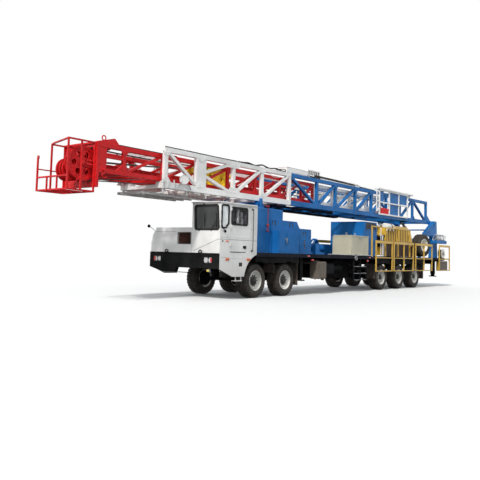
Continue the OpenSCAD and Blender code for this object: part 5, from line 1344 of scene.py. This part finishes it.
@piece("carrier", SHADE_MESH)
def guard_shade_sheets(form):
    # Dark mesh-patterned sheets behind the guard's bars and behind the rails: painted shade of the space
    # inside the guard and behind the rails
    for s in (-1, 1):
        form.block((-7.55, s * 1.066, 1.48), (-4.96, s * 1.072, 2.74), 0.001)
    form.block((-8.05, 1.02, 1.455), (-4.75, 1.035, 2.02), 0.002)


@piece("carrier", YELLOW)
def guard_ends(form):
    # End plates of the guard, bolts and the closing plate at its rear
    for s in (-1, 1):
        form.prism([(-7.6, 1.95), (-7.6, 2.55), (-7.66, 2.6), (-7.82, 2.35), (-7.86, 2.15), (-7.78, 1.95)],
                   "Y", s * 1.06, s * 1.1)
        form.bolts([(-5.0 - 0.37 * i, s * 1.1, z) for i in range(8) for z in (1.5, 2.62)],
                   (0, s, 0), 0.013, 0.01)
    form.block((-7.6, -1.04, 1.5), (-7.585, 1.04, 1.95), 0.003)


@piece("carrier", BLACK)
def rail_caps(form):
    # Strips on top of the rail panels
    top = 2.112
    for x0, x1 in RAIL_PANELS:
        for s in (-1, 1):
            form.block((x0, s * 1.495, top - 0.012), (x1, s * 1.524, top + 0.012), 0.004)


@piece("carrier", ZINC)
def wire_coils(form):
    # Coil of wire on the left box beam
    for i in range(17):
        x = -10.4 - 0.066 * i
        height = 0.15 + 0.02 * (i % 3)
        form.tube([(x + 0.1 * math.sin(2 * t + i), 1.255 + 0.13 * math.cos(t), 2.47 + height * math.sin(t))
                   for t in turns(14)], 0.011, 5, closed=True)
    for i in range(5):
        y, z = 1.16 + 0.05 * i, 2.36 + 0.035 * (i % 2)
        form.hose([(-10.35, y, z), (-10.7, y + 0.03, z + 0.05), (-11.1, y - 0.02, z + 0.02),
                   (-11.5, y, z)], 0.012)


@piece("carrier", BLUE)
def leg_brackets(form):
    # Gussets, edge strips and bolts of the mast's legs, and the tube between them
    for s in (-1, 1):
        form.prism([(-9.02, 2.515), (-9.98, 3.04), (-9.99, 2.53)], "Y", s * 1.1, s * 1.125)
        form.block((-11.6, s * 1.115, 2.331), (-10.26, s * 1.14, 2.352), 0.003)
        form.block((-11.6, s * 1.385, 2.331), (-10.26, s * 1.398, 2.352), 0.003)
        form.bolts([(x, s * 1.401, 2.26) for x in (-10.4, -10.8, -11.2, -11.5)], (0, s, 0), 0.014, 0.01)
        form.bolts([(x, s * 1.401, z) for x in (-9.75, -10.05) for z in (1.56, 1.7, 3.1, 3.22)],
                   (0, s, 0), 0.016, 0.012)
    form.tube([(-10.9, -1.05, 2.9), (-10.9, 1.05, 2.9)], 0.035, 12)


@piece("carrier", RIM_WHITE)
def reel_sides(form):
    # Cheeks of the hose reel, and the plates on them
    for low in (0, 0.18):
        form.ring(0.06, 0.26, low, low + 0.012, REEL_AT, "Y", 32)
    for t in turns(6):
        x, z = REEL_AT[0] + 0.15 * math.cos(t), REEL_AT[2] + 0.15 * math.sin(t)
        form.block((x - 0.02, 1.372, z - 0.06), (x + 0.02, 1.382, z + 0.06), 0.003)


@piece("carrier", HOSE)
def reel_hose(form):
    for k in range(6):
        form.lathe([(0.2, -0.014), (0.214, 0.0), (0.2, 0.014), (0.186, 0.0)],
                   (REEL_AT[0], 1.208 + 0.027 * k, REEL_AT[2]), "Y", 28, closed=True)
    form.lathe([(0, 0.0), (0.07, 0.0), (0.07, 0.2), (0.04, 0.215), (0, 0.215)], REEL_AT, "Y", 20)
    form.block((-11.22, 1.2, 1.3), (-11.14, 1.36, 1.47), 0.01)


@piece("carrier", GREY)
def rear_box(form):
    form.block((-11.495, 1.4755, 0.8), (-10.435, 1.484, 1.285), 0.003)


@piece("carrier", BLACK)
def under_deck_equipment_and_shade(form):
    # Air tanks on straps, and the battery box
    for y in (-1.02, -0.66, 1.02, 0.66):
        form.lathe([(0, -0.45), (0.09, -0.435), (0.15, -0.37), (0.15, 0.37), (0.09, 0.435), (0, 0.45)],
                   (-0.55, y, 0.93), "X", 28)
        for x in (-0.8, -0.3):
            form.ring(0.15, 0.158, -0.02, 0.02, (x, y, 0.93), "X")
            form.block((x - 0.02, y - 0.02, 1.08), (x + 0.02, y + 0.02, 1.14), 0.003)
    form.block((0.1, 0.78, 0.72), (0.66, 1.38, 1.12), 0.02)
    form.block((0.12, 1.382, 0.76), (0.64, 1.392, 1.08), 0.004)
    # Dark tanks and boxes of the far side, which fill the shade under the deck
    form.block((0.7, -1.4, 0.58), (1.8, -0.8, 1.13), 0.05)
    form.block((0.1, -1.4, 0.7), (0.62, -0.8, 1.12), 0.02)
    form.block((-2.95, -1.4, 0.62), (-1.35, -0.85, 1.12), 0.03)
    for x in (-1.75, -2.15, -2.55):
        form.block((x - 0.012, -1.41, 0.66), (x + 0.012, -1.4, 1.08), 0.003)
    # Dark boxes between the rails, which fill the shade under the deck; the large one is drawn as a
    # hydraulic reservoir
    form.block((-3.25, -0.92, 0.48), (-0.95, 0.2, 1.08), 0.03)
    form.block((0.2, -0.92, 0.5), (1.7, -0.1, 1.06), 0.03)
    form.block((1.45, 0.0, 0.5), (2.05, 0.84, 1.0), 0.03)
    # Propeller shafts with their joints
    for x0, x1, z0, z1 in ((2.0, -3.2, 0.8, 0.72), (2.3, 4.6, 0.8, 0.78)):
        form.tube([(x0, 0, z0), (x1, 0, z1)], 0.055, 16)
        for x, z in ((x0, z0), (x1, z1)):
            form.lathe([(0, -0.06), (0.085, -0.05), (0.085, 0.05), (0, 0.06)], (x, 0, z), "X", 20)
    form.block((1.75, -0.3, 0.62), (2.35, 0.3, 1.1), 0.05)
    for y, z in ((0.47, 1.02), (0.52, 0.98), (-0.47, 1.02), (-0.52, 0.96), (0.47, 0.9)):
        form.hose([(4.2, y, z), (2.4, y + 0.01, z - 0.02), (0.2, y - 0.01, z + 0.015), (-2.0, y, z - 0.01),
                   (-3.3, y, z)], 0.016)


@piece("carrier", FLAP)
def mud_flaps(form):
    # Flaps behind the wheels, hung from the wings
    for x, z in ((2.462, 0.36), (-8.728, 0.42), (3.882, 0.8), (-3.52, 0.5)):
        for s in (-1, 1):
            form.prism(rect(x, z, x + 0.02, 1.12), "Y", s * 0.86, s * 1.3)


@piece("carrier", GREY)
def tank_fittings(form):
    # Cap, foot and drain of the fuel tank
    form.lathe([(0, 0), (0.055, 0), (0.055, 0.03), (0.045, 0.04), (0, 0.04)], (1.28, 1.25, 1.19), "Z", 24)
    form.block((0.7, 1.2, 0.5), (0.76, 1.32, 0.72), 0.01)
    form.tube([(1.3, 1.3, 0.6), (1.3, 1.3, 0.53)], 0.02, 10)


@piece("carrier", STEEL)
def tread_edge_highlights(form):
    # Bright steel strips on the edges of the access ladder's treads: painted highlights
    for z in (0.48, 0.74, 1.01):
        form.block((-2.5, 1.4105, z - 0.012), (-1.42, 1.416, z + 0.012), 0.002)


# Stage, light and camera

CAMERA_AT = Vector((20.849, 13.27, 1.416))
CAMERA_AZIMUTH, CAMERA_PITCH, CAMERA_ROLL = (math.radians(a) for a in (38.85, 4.1, 1.57))
CAMERA_LENS = 46.62
CAMERA_SHIFT = (0.008, -0.0656)
SUN_FROM = Vector((0.728, 0.2, 0.66))
SUN_STRENGTH, SUN_ANGLE = 2.55, math.radians(5)
SKY_LOW, SKY_HIGH = 1.62, 0.15
FLOOR_NEAR, FLOOR_FAR, FLOOR_REACH = 13.0, 30.0, 150


def make_camera():
    """Camera of the photograph."""
    way = Vector((-math.cos(CAMERA_AZIMUTH) * math.cos(CAMERA_PITCH),
                  -math.sin(CAMERA_AZIMUTH) * math.cos(CAMERA_PITCH), math.sin(CAMERA_PITCH)))
    right = way.cross(UP).normalized()
    up = right.cross(way)
    c, s = math.cos(CAMERA_ROLL), math.sin(CAMERA_ROLL)
    x, y = right * c + up * s, up * c - right * s
    data = bpy.data.cameras.new("camera")
    data.lens, data.sensor_width = CAMERA_LENS, 36
    data.shift_x, data.shift_y = CAMERA_SHIFT
    data.clip_end = 400
    place = Matrix.Translation(CAMERA_AT) @ Matrix((x, y, -way)).transposed().to_4x4()
    bpy.context.scene.camera = show("camera", data, place)


def make_light():
    """Sun with soft edges and a pale sky that the camera sees as white."""
    data = bpy.data.lights.new("sun", "SUN")
    data.energy = SUN_STRENGTH
    data.angle = SUN_ANGLE
    data.color = (1.0, 0.985, 0.95)
    show("sun", data, turn_to(SUN_FROM))
    world = bpy.data.worlds.new("world")
    bpy.context.scene.world = world
    world.use_nodes = True
    world.node_tree.nodes.clear()
    n = Tree(world.node_tree, "Generated")
    path = n.new("ShaderNodeLightPath")
    seen = n.math("MAXIMUM", path.outputs["Is Camera Ray"], path.outputs["Is Transmission Ray"])
    sky, white = (n.new("ShaderNodeBackground") for _ in range(2))
    sky.inputs[0].default_value = (0.93, 0.97, 1.0, 1)
    white.inputs[0].default_value = (1, 1, 1, 1)
    # The soft light is stronger from the sides than from above, so that pale tops keep their colour
    n.link(n.spread(n.axis("Z"), 0, 1, SKY_LOW, SKY_HIGH), sky.inputs[1])
    mix = n.new("ShaderNodeMixShader")
    for socket, value in zip(mix.inputs, (seen, sky.outputs[0], white.outputs[0])):
        n.link(value, socket)
    n.link(mix.outputs[0], n.new("ShaderNodeOutputWorld").inputs[0])


def make_floor():
    """Pale floor that keeps the shadow near the rig and turns white further out."""
    mesh = bpy.data.meshes.new("floor")
    corners = rect(-FLOOR_REACH, -FLOOR_REACH, FLOOR_REACH, FLOOR_REACH)
    mesh.from_pydata(carried(corners, "Z", 0), [], [[0, 1, 2, 3]])
    made = show("floor", mesh)
    n = Nodes("floor", 0.9)
    mesh.materials.append(n.material)
    path = n.new("ShaderNodeLightPath")
    tone = n.mix(path.outputs["Is Camera Ray"], (0.1, 0.1, 0.1), (0.93, 0.93, 0.93))
    n.link(tone, n.shader.inputs["Base Color"])
    length = n.new("ShaderNodeVectorMath", operation="LENGTH")
    n.link(n.where, length.inputs[0])
    far = n.spread(length.outputs["Value"], FLOOR_NEAR, FLOOR_FAR)
    glow = n.new("ShaderNodeEmission")
    mix = n.new("ShaderNodeMixShader")
    n.link(n.math("MULTIPLY", far, path.outputs["Is Camera Ray"]), mix.inputs[0])
    n.link(n.shader.outputs[0], mix.inputs[1])
    n.link(glow.outputs[0], mix.inputs[2])
    n.link(mix.outputs[0], n.tree.nodes["Material Output"].inputs[0])


make_camera()
make_light()
make_floor()
bpy.context.scene.view_settings.view_transform = "Standard"
